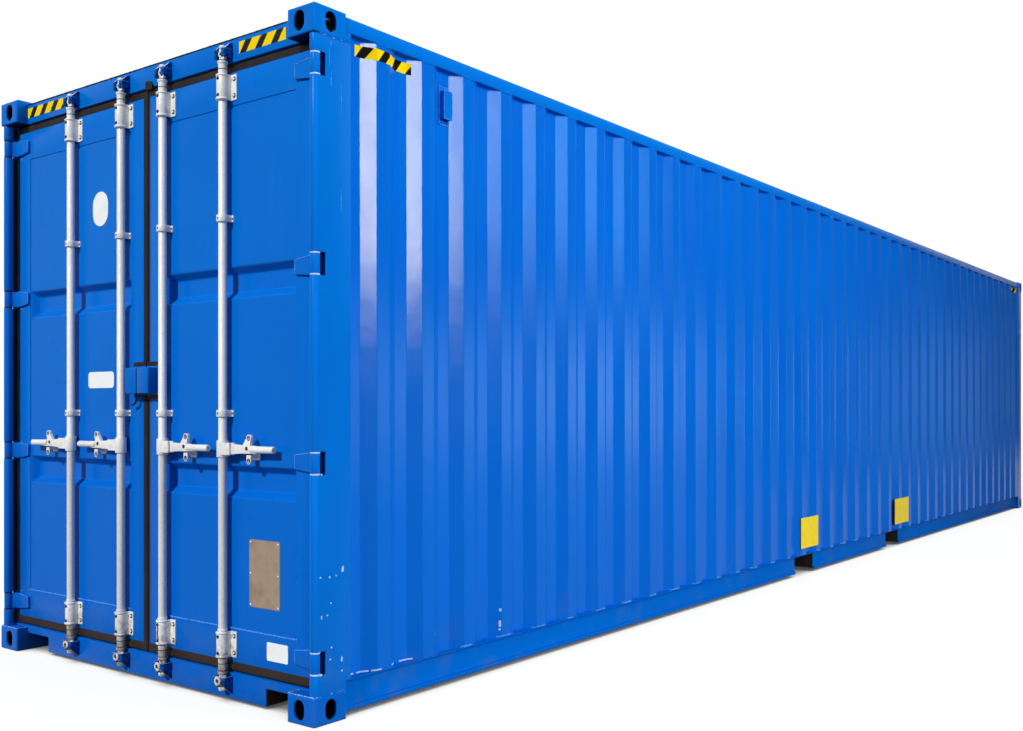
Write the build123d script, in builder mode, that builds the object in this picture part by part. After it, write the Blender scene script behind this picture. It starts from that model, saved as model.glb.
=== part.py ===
"""Shipping container, a 40 ft high-cube steel box with two hinged doors at one end.

Units are mm, +Z is up and the origin is on the ground under the middle of the box.
X runs along the length with the doors at -X. "Left" and "right" are as seen facing the doors,
so the right side is -Y.
"""
import os
from build123d import *

# Overall size of the box, taken over the corner castings
LENGTH = 12192.0
WIDTH = 2438.0
HEIGHT = 2896.0
X_DOOR = -LENGTH / 2
X_BLIND = LENGTH / 2
Y_RIGHT = -WIDTH / 2

# Corner castings
CASTING_L = 178.0
CASTING_W = 162.0
CASTING_H = 118.0
CASTING_WALL = 24.0
CASTING_INNER_WALL = 12.0
CASTING_ROUND = 9.0
LOCK_HOLE_X = 103.5
LOCK_HOLE_Y = 89.5
LOCK_SLOT_L = 124.5
LOCK_SLOT_W = 63.5
FACE_SLOT_H = 84.0
FACE_SLOT_W = 60.0

# Clearances
SKIN = 4.0
DOOR_GAP = 5.0
PIN_GAP = 0.4
BAR_GAP = 0.4

# Rails and end frames
SHEET = 2.0
TOP_RAIL = 60.0
TOP_RAIL_WALL = 4.0
TOP_RAIL_DROP = 14.0
TOP_RAIL_Z = HEIGHT - TOP_RAIL_DROP - TOP_RAIL
BASE_RAIL_Z0 = 22.0
BASE_RAIL_Z1 = 158.0
BASE_RAIL_T = 5.0
BASE_RAIL_WEB = 30.0
BASE_RAIL_IN = 64.0
BASE_RAIL_LIP = 20.0
BASE_RAIL_LIP_H = 20.0
SILL_Z0 = 14.0
SILL_Z1 = 126.0
SILL_NOTCH_L = 202.0
SILL_NOTCH_H = 76.0
HEADER_H = 104.0
HEADER_DROP = 14.0
HEADER_Z1 = HEIGHT - HEADER_DROP
HEADER_Z0 = HEADER_Z1 - HEADER_H
FRAME_U = 62.0
FRAME_T = 6.0
HEADER_DEPTH = 68.0

# Door posts: a folded section with a round nose that carries the hinge pins
POST_T = 6.0
POST_L = 206.0
POST_IN = 88.0
NOSE_R = 22.0
NOSE_U = 28.0
NOSE_V = SKIN + NOSE_R
JAMB_V = SKIN + 2 * NOSE_R
STOP_U = 130.0
NOTCH_H = 94.0
NOTCH_U = 64.0

# Blind end posts
BLIND_POST_L = 206.0
BLIND_POST_W = 120.0
BLIND_POST_T = 6.0
BLIND_SKIN = 6.0
BLIND_IN = 60.0

# Corrugated side walls
WALL_X0 = X_DOOR + POST_L
WALL_X1 = X_BLIND - BLIND_POST_L
WALL_VALLEYS = 41
WALL_DEPTH = 36.0
WALL_SLOPE = 68.0
WALL_PITCH = (WALL_X1 - WALL_X0) / WALL_VALLEYS
WALL_FLAT = (WALL_PITCH - 2 * WALL_SLOPE) / 2
WALL_FIRST = 86.0

# Corrugated blind end wall
END_VALLEYS = 9
END_DEPTH = 44.0
END_SLOPE = 34.0
END_HALF = WIDTH / 2 - BLIND_POST_W
END_PITCH = 2 * END_HALF / END_VALLEYS
END_FLAT = (END_PITCH - 2 * END_SLOPE) / 2

# Roof
ROOF_DROP = 34.0
ROOF_Z = HEIGHT - ROOF_DROP
ROOF_DEPTH = 20.0
ROOF_PLATE = 4.0
ROOF_RIBS = 54
ROOF_END = 300.0
ROOF_PITCH = (LENGTH - 2 * ROOF_END) / ROOF_RIBS
ROOF_SLOPE = 13.0
ROOF_FLAT = (ROOF_PITCH - 2 * ROOF_SLOPE) / 2
ROOF_HALF = WIDTH / 2 - SKIN - TOP_RAIL

# Base
FLOOR_T = 28.0
FLOOR_Z = 153.0
CROSS_W = 45.0
CROSS_T = 4.0
CROSS_PITCH = 300.0
POCKET_X = 1040.0
POCKET_W = 360.0
POCKET_T = 5.0
POCKET_TOP = 148.0
TUNNEL_W = 1029.0
TUNNEL_L = 3300.0
TUNNEL_T = 5.0
BASE_HALF = WIDTH / 2 - BASE_RAIL_WEB - BASE_RAIL_T

# Doors
LEAF_U = 66.0
LEAF_T = 50.0
LEAF_Z0 = SILL_Z1 + 47.0
LEAF_Z1 = HEADER_Z0 - 42.0
HINGE_LOW = LEAF_Z0 + 78.0
HINGE_HIGH = LEAF_Z1 - 78.0
HINGE_Z = [HINGE_LOW + (HINGE_HIGH - HINGE_LOW) * i / 3 for i in range(4)]
LEAF_OUT = WIDTH / 2 - 78.0
LEAF_IN = 26.0
STILE = 100.0
RAIL_TOP = 143.0
RAIL_BOTTOM = 148.0
LEAF_WALL = 3.2
PANEL_T = 2.0
PANEL_STEP = 3.0
GROOVE_RISE = 784.5
GROOVE_FALL = 915.0
GROOVE_Z = (LEAF_Z0 + GROOVE_RISE, LEAF_Z1 - GROOVE_FALL)
GROOVE_H = 142.0
GROOVE_DEPTH = 36.0
GROOVE_TAPER = 40.0
GROOVE_END = 6.0
GASKET_U = 68.0
GASKET_T = 26.0
GASKET_CHAMFER = 7.0
SEAM = 4.0

# Door gear
BAR_R = 19.0
BAR_U = 36.0
BAR_Y = (-165.0, -600.0)
BAR_WALL = 4.0
CAM_Z = (SILL_Z1 - 34.0, HEADER_Z0 + 34.0)
CAM_H = 50.0
CAM_HALF = 21.0
CAM_T = 16.0
NECK_R = 11.0
SHOULDER_R = 15.0
SHOULDER_GAP = 5.0
KEEPER_IN = 27.0
KEEPER_T = 9.0
KEEPER_LIP = 17.0
KEEPER_H = 36.0
KEEPER_FRONT = 12.0
KEEPER_SLOT = 21.0
KEEPER_EASE = 6.0
SADDLE_R = 27.0
SADDLE_H = 112.0
SADDLE_HALF = 62.0
SADDLE_Z = (LEAF_Z0 + 77.0, LEAF_Z1 - 68.0)
BAR_Z0 = SADDLE_Z[0] - SADDLE_H / 2 - 8.0
BAR_Z1 = SADDLE_Z[1] + SADDLE_H / 2 + 8.0
CLIP_H = 30.0
CLIP_HALF = 36.0
FOOT_T = 6.0
HANDLE_Z = 1100.0
CLIP_RISE = 153.0
CLIP_FALL = 637.0
CLIP_Z = (HANDLE_Z + CLIP_RISE, LEAF_Z1 - CLIP_FALL)
HANDLE_U = 22.0
HANDLE_T = 14.0
HANDLE_L = 345.0
GRIP_R = 15.0
REST_S = 190.0
REST_DROP = 24.0
REST_T = 10.0
REST_W = 28.0
REST_EYE = 24.0
EAR_S = 189.0
EAR_H = 48.0
EAR_R = 15.0
EYE_R = 7.5
REST_FOOT = 44.0
REST_ARM = 12.0
GRIP_S = 200.0
PIVOT_S = 54.0
PIVOT_R = 7.0
BOX_Z0 = HANDLE_Z + 245.0
BOX_Z1 = BOX_Z0 + 120.0
BOX_OUT = 90.0
BOX_FLANGE = 8.0
BOX_U = 8.0
BOX_T = 4.0
BOX_GAP = 3.0
BLADE_H = 80.0
BLADE_T = 12.0
BLADE_END = 176.0
BLADE_TAPER = 84.0
BLADE_TIP = 58.0
KNUCKLE_R = 20.0
PIN_R = 9.0

os.makedirs("parts", exist_ok=True)

door_corner = Plane((X_DOOR, Y_RIGHT, 0))
blind_corner = Plane((X_BLIND, Y_RIGHT, 0), x_dir=(-1, 0, 0), z_dir=(0, 0, -1))

# Corner castings, hollow blocks with a lock slot and two upright face slots each
with BuildPart() as bottom_corner_castings:
    with Locations((X_DOOR, Y_RIGHT, 0)):
        Box(CASTING_L, CASTING_W, CASTING_H, align=Align.MIN)
    near_edges = bottom_corner_castings.edges().filter_by(
        lambda e: abs(e.center().X - X_DOOR) < 1 or abs(e.center().Y - Y_RIGHT) < 1
    )
    fillet(near_edges, radius=CASTING_ROUND)
    with Locations((X_DOOR + CASTING_WALL, Y_RIGHT + CASTING_WALL, CASTING_WALL)):
        Box(
            CASTING_L - CASTING_WALL - CASTING_INNER_WALL,
            CASTING_W - CASTING_WALL - CASTING_INNER_WALL,
            CASTING_H - CASTING_WALL - CASTING_INNER_WALL,
            align=Align.MIN,
            mode=Mode.SUBTRACT,
        )
    with BuildSketch(Plane((X_DOOR + LOCK_HOLE_X, Y_RIGHT + LOCK_HOLE_Y, 0))):
        SlotOverall(LOCK_SLOT_L, LOCK_SLOT_W)
    extrude(amount=CASTING_WALL, mode=Mode.SUBTRACT)
    with BuildSketch(Plane((X_DOOR, Y_RIGHT + LOCK_HOLE_Y, CASTING_H / 2), x_dir=(0, 1, 0), z_dir=(1, 0, 0))):
        SlotOverall(FACE_SLOT_H, FACE_SLOT_W, rotation=90)
    extrude(amount=CASTING_WALL, mode=Mode.SUBTRACT)
    with BuildSketch(Plane((X_DOOR + LOCK_HOLE_Y, Y_RIGHT, CASTING_H / 2), x_dir=(-1, 0, 0), z_dir=(0, 1, 0))):
        SlotOverall(FACE_SLOT_H, FACE_SLOT_W, rotation=90)
    extrude(amount=CASTING_WALL, mode=Mode.SUBTRACT)
    mirror(about=Plane.XZ)
    mirror(about=Plane.YZ)

with BuildPart() as top_corner_castings:
    mirror(bottom_corner_castings.part, about=Plane((0, 0, HEIGHT / 2)))

# Door posts
with BuildPart() as right_door_post:
    with BuildSketch(door_corner.offset(CASTING_H)):
        with BuildLine():
            fold = Polyline(
                (NOSE_U, SKIN),
                (POST_L, SKIN),
                (POST_L, POST_IN),
                (STOP_U, POST_IN),
                (STOP_U, JAMB_V),
                (NOSE_U, JAMB_V),
            )
            ThreePointArc(fold @ 1, (NOSE_U - NOSE_R, NOSE_V), fold @ 0)
        make_face()
        offset(amount=-POST_T, mode=Mode.SUBTRACT)
    extrude(amount=HEIGHT - 2 * CASTING_H)
    with Locations((X_DOOR + CASTING_L, Y_RIGHT, CASTING_H)):
        Box(POST_L, POST_IN + 1, BASE_RAIL_Z1 - CASTING_H, align=Align.MIN, mode=Mode.SUBTRACT)
    with Locations([(X_DOOR, Y_RIGHT, z - NOTCH_H / 2) for z in HINGE_Z]):
        Box(NOTCH_U, JAMB_V + 1, NOTCH_H, align=Align.MIN, mode=Mode.SUBTRACT)

with BuildPart() as left_door_post:
    mirror(right_door_post.part, about=Plane.XZ)

# Hinge pins with collars that fill the nose above and below each notch
with BuildPart() as hinge_pins:
    for z in HINGE_Z:
        with BuildSketch(Plane((X_DOOR + NOSE_U, Y_RIGHT + NOSE_V, z - NOTCH_H / 2 - 20))):
            Circle(PIN_R)
        extrude(amount=NOTCH_H + 40)
        with BuildSketch(
            Plane((X_DOOR + NOSE_U, Y_RIGHT + NOSE_V, z - NOTCH_H / 2 - 20)),
            Plane((X_DOOR + NOSE_U, Y_RIGHT + NOSE_V, z + NOTCH_H / 2 + 5)),
        ):
            Circle(NOSE_R - POST_T)
        extrude(amount=15)
    mirror(about=Plane.XZ)

# Blind end posts, an angle-shaped hollow section
with BuildPart() as blind_end_posts:
    with BuildSketch(Plane((X_BLIND, Y_RIGHT, CASTING_H))):
        with BuildLine():
            Polyline(
                (-BLIND_SKIN, SKIN),
                (-BLIND_POST_L, SKIN),
                (-BLIND_POST_L, BLIND_IN),
                (-BLIND_IN, BLIND_IN),
                (-BLIND_IN, BLIND_POST_W),
                (-BLIND_SKIN, BLIND_POST_W),
                close=True,
            )
        make_face()
        offset(amount=-BLIND_POST_T, mode=Mode.SUBTRACT)
    extrude(amount=HEIGHT - 2 * CASTING_H)
    with Locations((X_BLIND - CASTING_L - BLIND_POST_L, Y_RIGHT, CASTING_H)):
        Box(BLIND_POST_L, BLIND_IN + 1, BASE_RAIL_Z1 - CASTING_H, align=Align.MIN, mode=Mode.SUBTRACT)
    mirror(about=Plane.XZ)

# Caps that close each post between its top casting and the side wall
with BuildPart() as post_caps:
    with BuildSketch(Plane((0, Y_RIGHT, HEIGHT - CASTING_H))):
        with Locations((X_DOOR + (CASTING_L + POST_L) / 2, (SKIN + POST_IN) / 2)):
            Rectangle(POST_L - CASTING_L, POST_IN - SKIN)
        with Locations((X_BLIND - (CASTING_L + BLIND_POST_L) / 2, (SKIN + BLIND_IN) / 2)):
            Rectangle(BLIND_POST_L - CASTING_L, BLIND_IN - SKIN)
        offset(amount=-POST_T, mode=Mode.SUBTRACT)
    extrude(amount=TOP_RAIL_Z - HEIGHT + CASTING_H)
    mirror(about=Plane.XZ)

# Door header between the castings, and the sill with an upper step that reaches the jambs
with BuildPart() as door_header:
    with BuildSketch(Plane((X_DOOR + FRAME_U, 0, HEADER_Z0))):
        Rectangle(HEADER_DEPTH, 2 * (WIDTH / 2 - CASTING_W), align=(Align.MIN, Align.CENTER))
    extrude(amount=HEADER_H)
    with BuildSketch(Plane((X_DOOR + FRAME_U + HEADER_DEPTH / 2, 0, (HEADER_Z0 + HEADER_Z1) / 2), x_dir=(1, 0, 0), z_dir=(0, -1, 0))):
        Rectangle(HEADER_DEPTH - 2 * FRAME_T, HEADER_Z1 - HEADER_Z0 - 2 * FRAME_T)
    extrude(amount=WIDTH / 2 - CASTING_W, both=True, mode=Mode.SUBTRACT)

with BuildPart() as door_sill:
    with BuildSketch(Plane((X_DOOR + FRAME_U, 0, CASTING_H))):
        Rectangle(STOP_U - FRAME_U, 2 * (WIDTH / 2 - JAMB_V), align=(Align.MIN, Align.CENTER))
        Rectangle(POST_L - FRAME_U, 2 * (WIDTH / 2 - POST_IN), align=(Align.MIN, Align.CENTER))
    extrude(amount=SILL_Z1 - CASTING_H)
    with BuildSketch(Plane((X_DOOR + FRAME_U, 0, SILL_Z0))):
        Rectangle(POST_L - FRAME_U, 2 * (WIDTH / 2 - CASTING_W), align=(Align.MIN, Align.CENTER))
    extrude(amount=CASTING_H - SILL_Z0)
    with BuildSketch(Plane((X_DOOR + POST_L - FRAME_T, 0, SILL_Z1))):
        Rectangle(FRAME_T, 2 * (WIDTH / 2 - POST_IN), align=(Align.MIN, Align.CENTER))
    extrude(amount=FLOOR_Z + FLOOR_T - SILL_Z1)
    with BuildSketch(Plane((X_DOOR + FRAME_U + FRAME_T, 0, SILL_Z0))):
        Rectangle(POST_L - FRAME_U - 2 * FRAME_T, 2 * (WIDTH / 2 - CASTING_W - FRAME_T), align=(Align.MIN, Align.CENTER))
    extrude(amount=SILL_Z1 - SILL_Z0 - FRAME_T, mode=Mode.SUBTRACT)
    with Locations(
        (X_DOOR + FRAME_U, Y_RIGHT + CASTING_W, SILL_Z0),
        (X_DOOR + FRAME_U, -Y_RIGHT - CASTING_W - SILL_NOTCH_L, SILL_Z0),
    ):
        Box(POST_L - FRAME_U, SILL_NOTCH_L, SILL_NOTCH_H, align=Align.MIN, mode=Mode.SUBTRACT)

# Top and bottom side rails
with BuildPart() as top_side_rails:
    with BuildSketch(Plane((X_DOOR + CASTING_L, Y_RIGHT + SKIN, TOP_RAIL_Z), x_dir=(0, 1, 0), z_dir=(1, 0, 0))):
        with Locations((TOP_RAIL / 2, TOP_RAIL / 2)):
            Rectangle(TOP_RAIL, TOP_RAIL)
            Rectangle(TOP_RAIL - 2 * TOP_RAIL_WALL, TOP_RAIL - 2 * TOP_RAIL_WALL, mode=Mode.SUBTRACT)
    extrude(amount=LENGTH - 2 * CASTING_L)
    mirror(about=Plane.XZ)

with BuildPart() as right_bottom_rail:
    with BuildSketch(Plane((X_DOOR + CASTING_L, Y_RIGHT, 0), x_dir=(0, 1, 0), z_dir=(1, 0, 0))):
        with BuildLine():
            Polyline(
                (SKIN, BASE_RAIL_Z1),
                (BASE_RAIL_IN, BASE_RAIL_Z1),
                (BASE_RAIL_IN, BASE_RAIL_Z1 - BASE_RAIL_T),
                (BASE_RAIL_WEB + BASE_RAIL_T, BASE_RAIL_Z1 - BASE_RAIL_T),
                (BASE_RAIL_WEB + BASE_RAIL_T, BASE_RAIL_Z0 + BASE_RAIL_T),
                (BASE_RAIL_IN, BASE_RAIL_Z0 + BASE_RAIL_T),
                (BASE_RAIL_IN, BASE_RAIL_Z0),
                (BASE_RAIL_LIP, BASE_RAIL_Z0),
                (BASE_RAIL_LIP, BASE_RAIL_Z0 + BASE_RAIL_LIP_H),
                (BASE_RAIL_WEB, BASE_RAIL_Z0 + BASE_RAIL_LIP_H),
                (BASE_RAIL_WEB, BASE_RAIL_Z1 - BASE_RAIL_T),
                (SKIN, BASE_RAIL_Z1 - BASE_RAIL_T),
                close=True,
            )
        make_face()
    extrude(amount=LENGTH - 2 * CASTING_L)
    with Locations([(x, Y_RIGHT, BASE_RAIL_Z0) for x in (-POCKET_X, POCKET_X)]):
        Box(
            POCKET_W,
            2 * BASE_RAIL_IN + 2,
            2 * (POCKET_TOP - BASE_RAIL_Z0),
            mode=Mode.SUBTRACT,
        )

with BuildPart() as left_bottom_rail:
    mirror(right_bottom_rail.part, about=Plane.XZ)

# Corrugated side walls, one folded sheet each
wall_path = [(WALL_X0, SKIN + WALL_DEPTH)]
for i in range(WALL_VALLEYS):
    x = WALL_X0 + WALL_FIRST + i * WALL_PITCH
    wall_path += [
        (x, SKIN + WALL_DEPTH),
        (x + WALL_SLOPE, SKIN),
        (x + WALL_SLOPE + WALL_FLAT, SKIN),
        (x + 2 * WALL_SLOPE + WALL_FLAT, SKIN + WALL_DEPTH),
    ]
wall_path[-2:] = [(WALL_X1, SKIN)]
with BuildPart() as right_side_wall:
    with BuildSketch(Plane((0, Y_RIGHT, BASE_RAIL_Z1))):
        with BuildLine():
            Polyline(*wall_path, *[(x, v + SHEET) for x, v in reversed(wall_path)], close=True)
        make_face()
    extrude(amount=TOP_RAIL_Z - BASE_RAIL_Z1)

with BuildPart() as left_side_wall:
    mirror(right_side_wall.part, about=Plane.XZ)

# Corrugated blind end wall with its top and bottom rails
end_path = [(-END_HALF, BLIND_SKIN)]
for i in range(END_VALLEYS):
    y = -END_HALF + i * END_PITCH + END_FLAT / 2
    end_path += [
        (y, BLIND_SKIN),
        (y + END_SLOPE, BLIND_SKIN + END_DEPTH),
        (y + END_SLOPE + END_FLAT, BLIND_SKIN + END_DEPTH),
        (y + 2 * END_SLOPE + END_FLAT, BLIND_SKIN),
    ]
end_path += [(END_HALF, BLIND_SKIN)]
with BuildPart() as blind_end_wall:
    with BuildSketch(Plane((X_BLIND, 0, BASE_RAIL_Z1))):
        with BuildLine():
            Polyline(*[(-u, y) for y, u in end_path], *[(-u - SHEET, y) for y, u in reversed(end_path)], close=True)
        make_face()
    extrude(amount=HEIGHT - CASTING_H - BASE_RAIL_Z1)

with BuildPart() as blind_end_top_rail:
    with BuildSketch(Plane((X_BLIND - BLIND_SKIN - TOP_RAIL / 2, 0, (HEIGHT - CASTING_H + ROOF_Z) / 2), x_dir=(1, 0, 0), z_dir=(0, -1, 0))):
        Rectangle(TOP_RAIL, ROOF_Z - HEIGHT + CASTING_H)
        Rectangle(TOP_RAIL - 2 * TOP_RAIL_WALL, ROOF_Z - HEIGHT + CASTING_H - 2 * TOP_RAIL_WALL, mode=Mode.SUBTRACT)
    extrude(amount=WIDTH / 2 - CASTING_W, both=True)

with BuildPart() as blind_end_bottom_rail:
    with BuildSketch(Plane((X_BLIND - BLIND_SKIN - TOP_RAIL / 2, 0, SILL_Z0))):
        Rectangle(TOP_RAIL, 2 * (WIDTH / 2 - CASTING_W))
    extrude(amount=BASE_RAIL_Z1 - SILL_Z0)
    with BuildSketch(Plane((X_BLIND - (BLIND_SKIN + BLIND_IN) / 2, 0, CASTING_H))):
        Rectangle(BLIND_IN - BLIND_SKIN, 2 * (WIDTH / 2 - BLIND_POST_W))
    extrude(amount=BASE_RAIL_Z1 - CASTING_H)
    with BuildSketch(Plane((X_BLIND - BLIND_SKIN - TOP_RAIL / 2, 0, SILL_Z0))):
        Rectangle(TOP_RAIL - 2 * FRAME_T, 2 * (WIDTH / 2 - CASTING_W - FRAME_T))
    extrude(amount=BASE_RAIL_Z1 - SILL_Z0 - FRAME_T, mode=Mode.SUBTRACT)
    with BuildSketch(Plane((X_BLIND - BLIND_SKIN - TOP_RAIL / 2, 0, SILL_Z0))):
        Rectangle(TOP_RAIL, TUNNEL_W)
    extrude(amount=FLOOR_Z - TUNNEL_T - SILL_Z0, mode=Mode.SUBTRACT)

# Roof, one sheet with pressed cross ribs between the castings and a flat plate at each end
roof_path = [(X_DOOR + CASTING_L, 0.0)]
for i in range(ROOF_RIBS):
    x = X_DOOR + ROOF_END + i * ROOF_PITCH + ROOF_FLAT / 2
    roof_path += [
        (x, 0.0),
        (x + ROOF_SLOPE, ROOF_DEPTH),
        (x + ROOF_SLOPE + ROOF_FLAT, ROOF_DEPTH),
        (x + 2 * ROOF_SLOPE + ROOF_FLAT, 0.0),
    ]
roof_path += [(X_BLIND - CASTING_L, 0.0)]
with BuildPart() as roof_panel:
    with BuildSketch(Plane((0, 0, ROOF_Z), x_dir=(1, 0, 0), z_dir=(0, -1, 0))):
        with BuildLine():
            Polyline(*roof_path, *[(x, z + SHEET) for x, z in reversed(roof_path)], close=True)
        make_face()
    extrude(amount=ROOF_HALF, both=True)

with BuildPart() as roof_end_plates:
    with BuildSketch(Plane((0, 0, ROOF_Z))):
        with Locations((X_DOOR + (FRAME_U + HEADER_DEPTH + CASTING_L) / 2, 0)):
            Rectangle(CASTING_L - FRAME_U - HEADER_DEPTH, WIDTH - 2 * CASTING_W)
        with Locations((X_BLIND - (BLIND_SKIN + TOP_RAIL + CASTING_L) / 2, 0)):
            Rectangle(CASTING_L - BLIND_SKIN - TOP_RAIL, WIDTH - 2 * CASTING_W)
    extrude(amount=ROOF_PLATE)

# Base: cross members, fork pockets, gooseneck tunnel and floor boards
TUNNEL_X0 = X_BLIND - TUNNEL_L
cross_x = []
x = X_DOOR + POST_L + CROSS_PITCH
while x < TUNNEL_X0 - CROSS_W:
    if abs(abs(x) - POCKET_X) > POCKET_W / 2 + POCKET_T + CROSS_W:
        cross_x.append(x)
    x += CROSS_PITCH
outrigger_x = []
while x < X_BLIND - CROSS_PITCH:
    outrigger_x.append(x)
    x += CROSS_PITCH
channel_h = FLOOR_Z - BASE_RAIL_Z0 - BASE_RAIL_T
with BuildPart() as cross_members:
    for x in cross_x:
        with BuildSketch(Plane((x, 0, BASE_RAIL_Z0 + BASE_RAIL_T), x_dir=(1, 0, 0), z_dir=(0, -1, 0))):
            Rectangle(CROSS_W, channel_h, align=(Align.CENTER, Align.MIN))
            with Locations((CROSS_T, CROSS_T)):
                Rectangle(CROSS_W, channel_h - 2 * CROSS_T, align=(Align.CENTER, Align.MIN), mode=Mode.SUBTRACT)
        extrude(amount=BASE_HALF, both=True)

with BuildPart() as tunnel_outriggers:
    for x in outrigger_x:
        with BuildSketch(
            Plane((x, -BASE_HALF, BASE_RAIL_Z0 + BASE_RAIL_T), x_dir=(-1, 0, 0), z_dir=(0, 1, 0)),
        ):
            Rectangle(CROSS_W, channel_h, align=(Align.CENTER, Align.MIN))
            with Locations((CROSS_T, CROSS_T)):
                Rectangle(CROSS_W, channel_h - 2 * CROSS_T, align=(Align.CENTER, Align.MIN), mode=Mode.SUBTRACT)
        extrude(amount=BASE_HALF - TUNNEL_W / 2 - TUNNEL_T)
    mirror(about=Plane.XZ)

with BuildPart() as tunnel_sides:
    with BuildSketch(Plane((TUNNEL_X0, 0, BASE_RAIL_Z0 + BASE_RAIL_T), x_dir=(0, 1, 0), z_dir=(1, 0, 0))):
        with Locations((-(TUNNEL_W + TUNNEL_T) / 2, 0), ((TUNNEL_W + TUNNEL_T) / 2, 0)):
            Rectangle(TUNNEL_T, channel_h - TUNNEL_T, align=(Align.CENTER, Align.MIN))
    extrude(amount=TUNNEL_L - BLIND_SKIN - TOP_RAIL)

with BuildPart() as tunnel_roof:
    with BuildSketch(Plane((TUNNEL_X0, 0, FLOOR_Z - TUNNEL_T), x_dir=(0, 1, 0), z_dir=(1, 0, 0))):
        Rectangle(TUNNEL_W + 2 * TUNNEL_T, TUNNEL_T, align=(Align.CENTER, Align.MIN))
    extrude(amount=TUNNEL_L - BLIND_SKIN - TOP_RAIL)

with BuildPart() as fork_pockets:
    with BuildSketch(
        Plane((-POCKET_X, 0, BASE_RAIL_Z0 + BASE_RAIL_T), x_dir=(1, 0, 0), z_dir=(0, -1, 0)),
        Plane((POCKET_X, 0, BASE_RAIL_Z0 + BASE_RAIL_T), x_dir=(1, 0, 0), z_dir=(0, -1, 0)),
    ):
        Rectangle(POCKET_W + 2 * POCKET_T, channel_h, align=(Align.CENTER, Align.MIN))
        Rectangle(POCKET_W, channel_h - POCKET_T, align=(Align.CENTER, Align.MIN), mode=Mode.SUBTRACT)
    extrude(amount=BASE_HALF, both=True)

FLOOR_X0 = X_DOOR + POST_L
FLOOR_X1 = X_BLIND - BLIND_SKIN - TOP_RAIL
BOARD_NX = 5
BOARD_GAP = 3.0
BOARD_L = (FLOOR_X1 - FLOOR_X0) / BOARD_NX
BOARD_W = WIDTH / 2 - BASE_RAIL_IN
with BuildPart() as floor_boards:
    with BuildSketch(Plane(((FLOOR_X0 + FLOOR_X1) / 2, 0, FLOOR_Z))):
        with GridLocations(BOARD_L, BOARD_W, BOARD_NX, 2):
            Rectangle(BOARD_L - BOARD_GAP, BOARD_W - BOARD_GAP)
        with Locations((-(FLOOR_X1 - FLOOR_X0) / 2, 0)):
            Rectangle(2 * BOARD_GAP, WIDTH, mode=Mode.SUBTRACT)
    extrude(amount=FLOOR_T)

# Ventilators, small hoods in a side wall valley
VENT_W = 60.0
VENT_H = 132.0
VENT_FLANGE_W = 72.0
VENT_FLANGE_H = 176.0
VENT_FLANGE_T = 4.0
VENT_Z = TOP_RAIL_Z - 157.0
VENT_WALL = 6.0
VENT_OUT = 30.0
VENT_STEPS = 36
VENT_X = WALL_X0 + WALL_FIRST - WALL_FLAT / 2 + 2 * WALL_PITCH
vent_back = Y_RIGHT + SKIN + WALL_DEPTH
with BuildPart() as ventilators:
    for x in (VENT_X, VENT_X + VENT_STEPS * WALL_PITCH):
        vent = Plane((x, vent_back, VENT_Z), x_dir=(1, 0, 0), z_dir=(0, -1, 0))
        with BuildSketch(vent):
            RectangleRounded(VENT_FLANGE_W, VENT_FLANGE_H, 12)
        extrude(amount=VENT_FLANGE_T)
        with BuildSketch(vent):
            RectangleRounded(VENT_W, VENT_H, 10)
        extrude(amount=VENT_OUT)
    hood_y = vent_back - VENT_OUT
    fillet(ventilators.edges().filter_by(lambda e: abs(e.center().Y - hood_y) < 0.01), radius=7)
    for x in (VENT_X, VENT_X + VENT_STEPS * WALL_PITCH):
        with BuildSketch(Plane((x, vent_back, VENT_Z - VENT_FLANGE_H / 2), x_dir=(1, 0, 0), z_dir=(0, 0, 1))):
            Rectangle(VENT_W - 2 * VENT_WALL, VENT_OUT - VENT_WALL, align=(Align.CENTER, Align.MAX))
        extrude(amount=(VENT_FLANGE_H + VENT_H) / 2 - VENT_WALL, mode=Mode.SUBTRACT)
    mirror(about=Plane.XZ)

# Cam keepers on the header and the sill: two hooked cheeks either side of each bar end
def keeper_set(z):
    with BuildPart() as keepers:
        for y in (*BAR_Y, -BAR_Y[0], -BAR_Y[1]):
            with BuildSketch(Plane((X_DOOR, y, z - KEEPER_H / 2))):
                with BuildLine():
                    Polyline(
                        (FRAME_U, KEEPER_IN),
                        (KEEPER_SLOT, KEEPER_IN),
                        (KEEPER_SLOT, KEEPER_LIP),
                        (KEEPER_FRONT, KEEPER_LIP),
                        (KEEPER_FRONT, KEEPER_IN + KEEPER_T - KEEPER_EASE),
                        (KEEPER_FRONT + KEEPER_EASE, KEEPER_IN + KEEPER_T),
                        (FRAME_U, KEEPER_IN + KEEPER_T),
                        close=True,
                    )
                make_face()
                mirror(about=Plane.XZ)
            extrude(amount=KEEPER_H)
    return keepers


upper_cam_keepers = keeper_set(CAM_Z[1])
lower_cam_keepers = keeper_set(CAM_Z[0])

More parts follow.
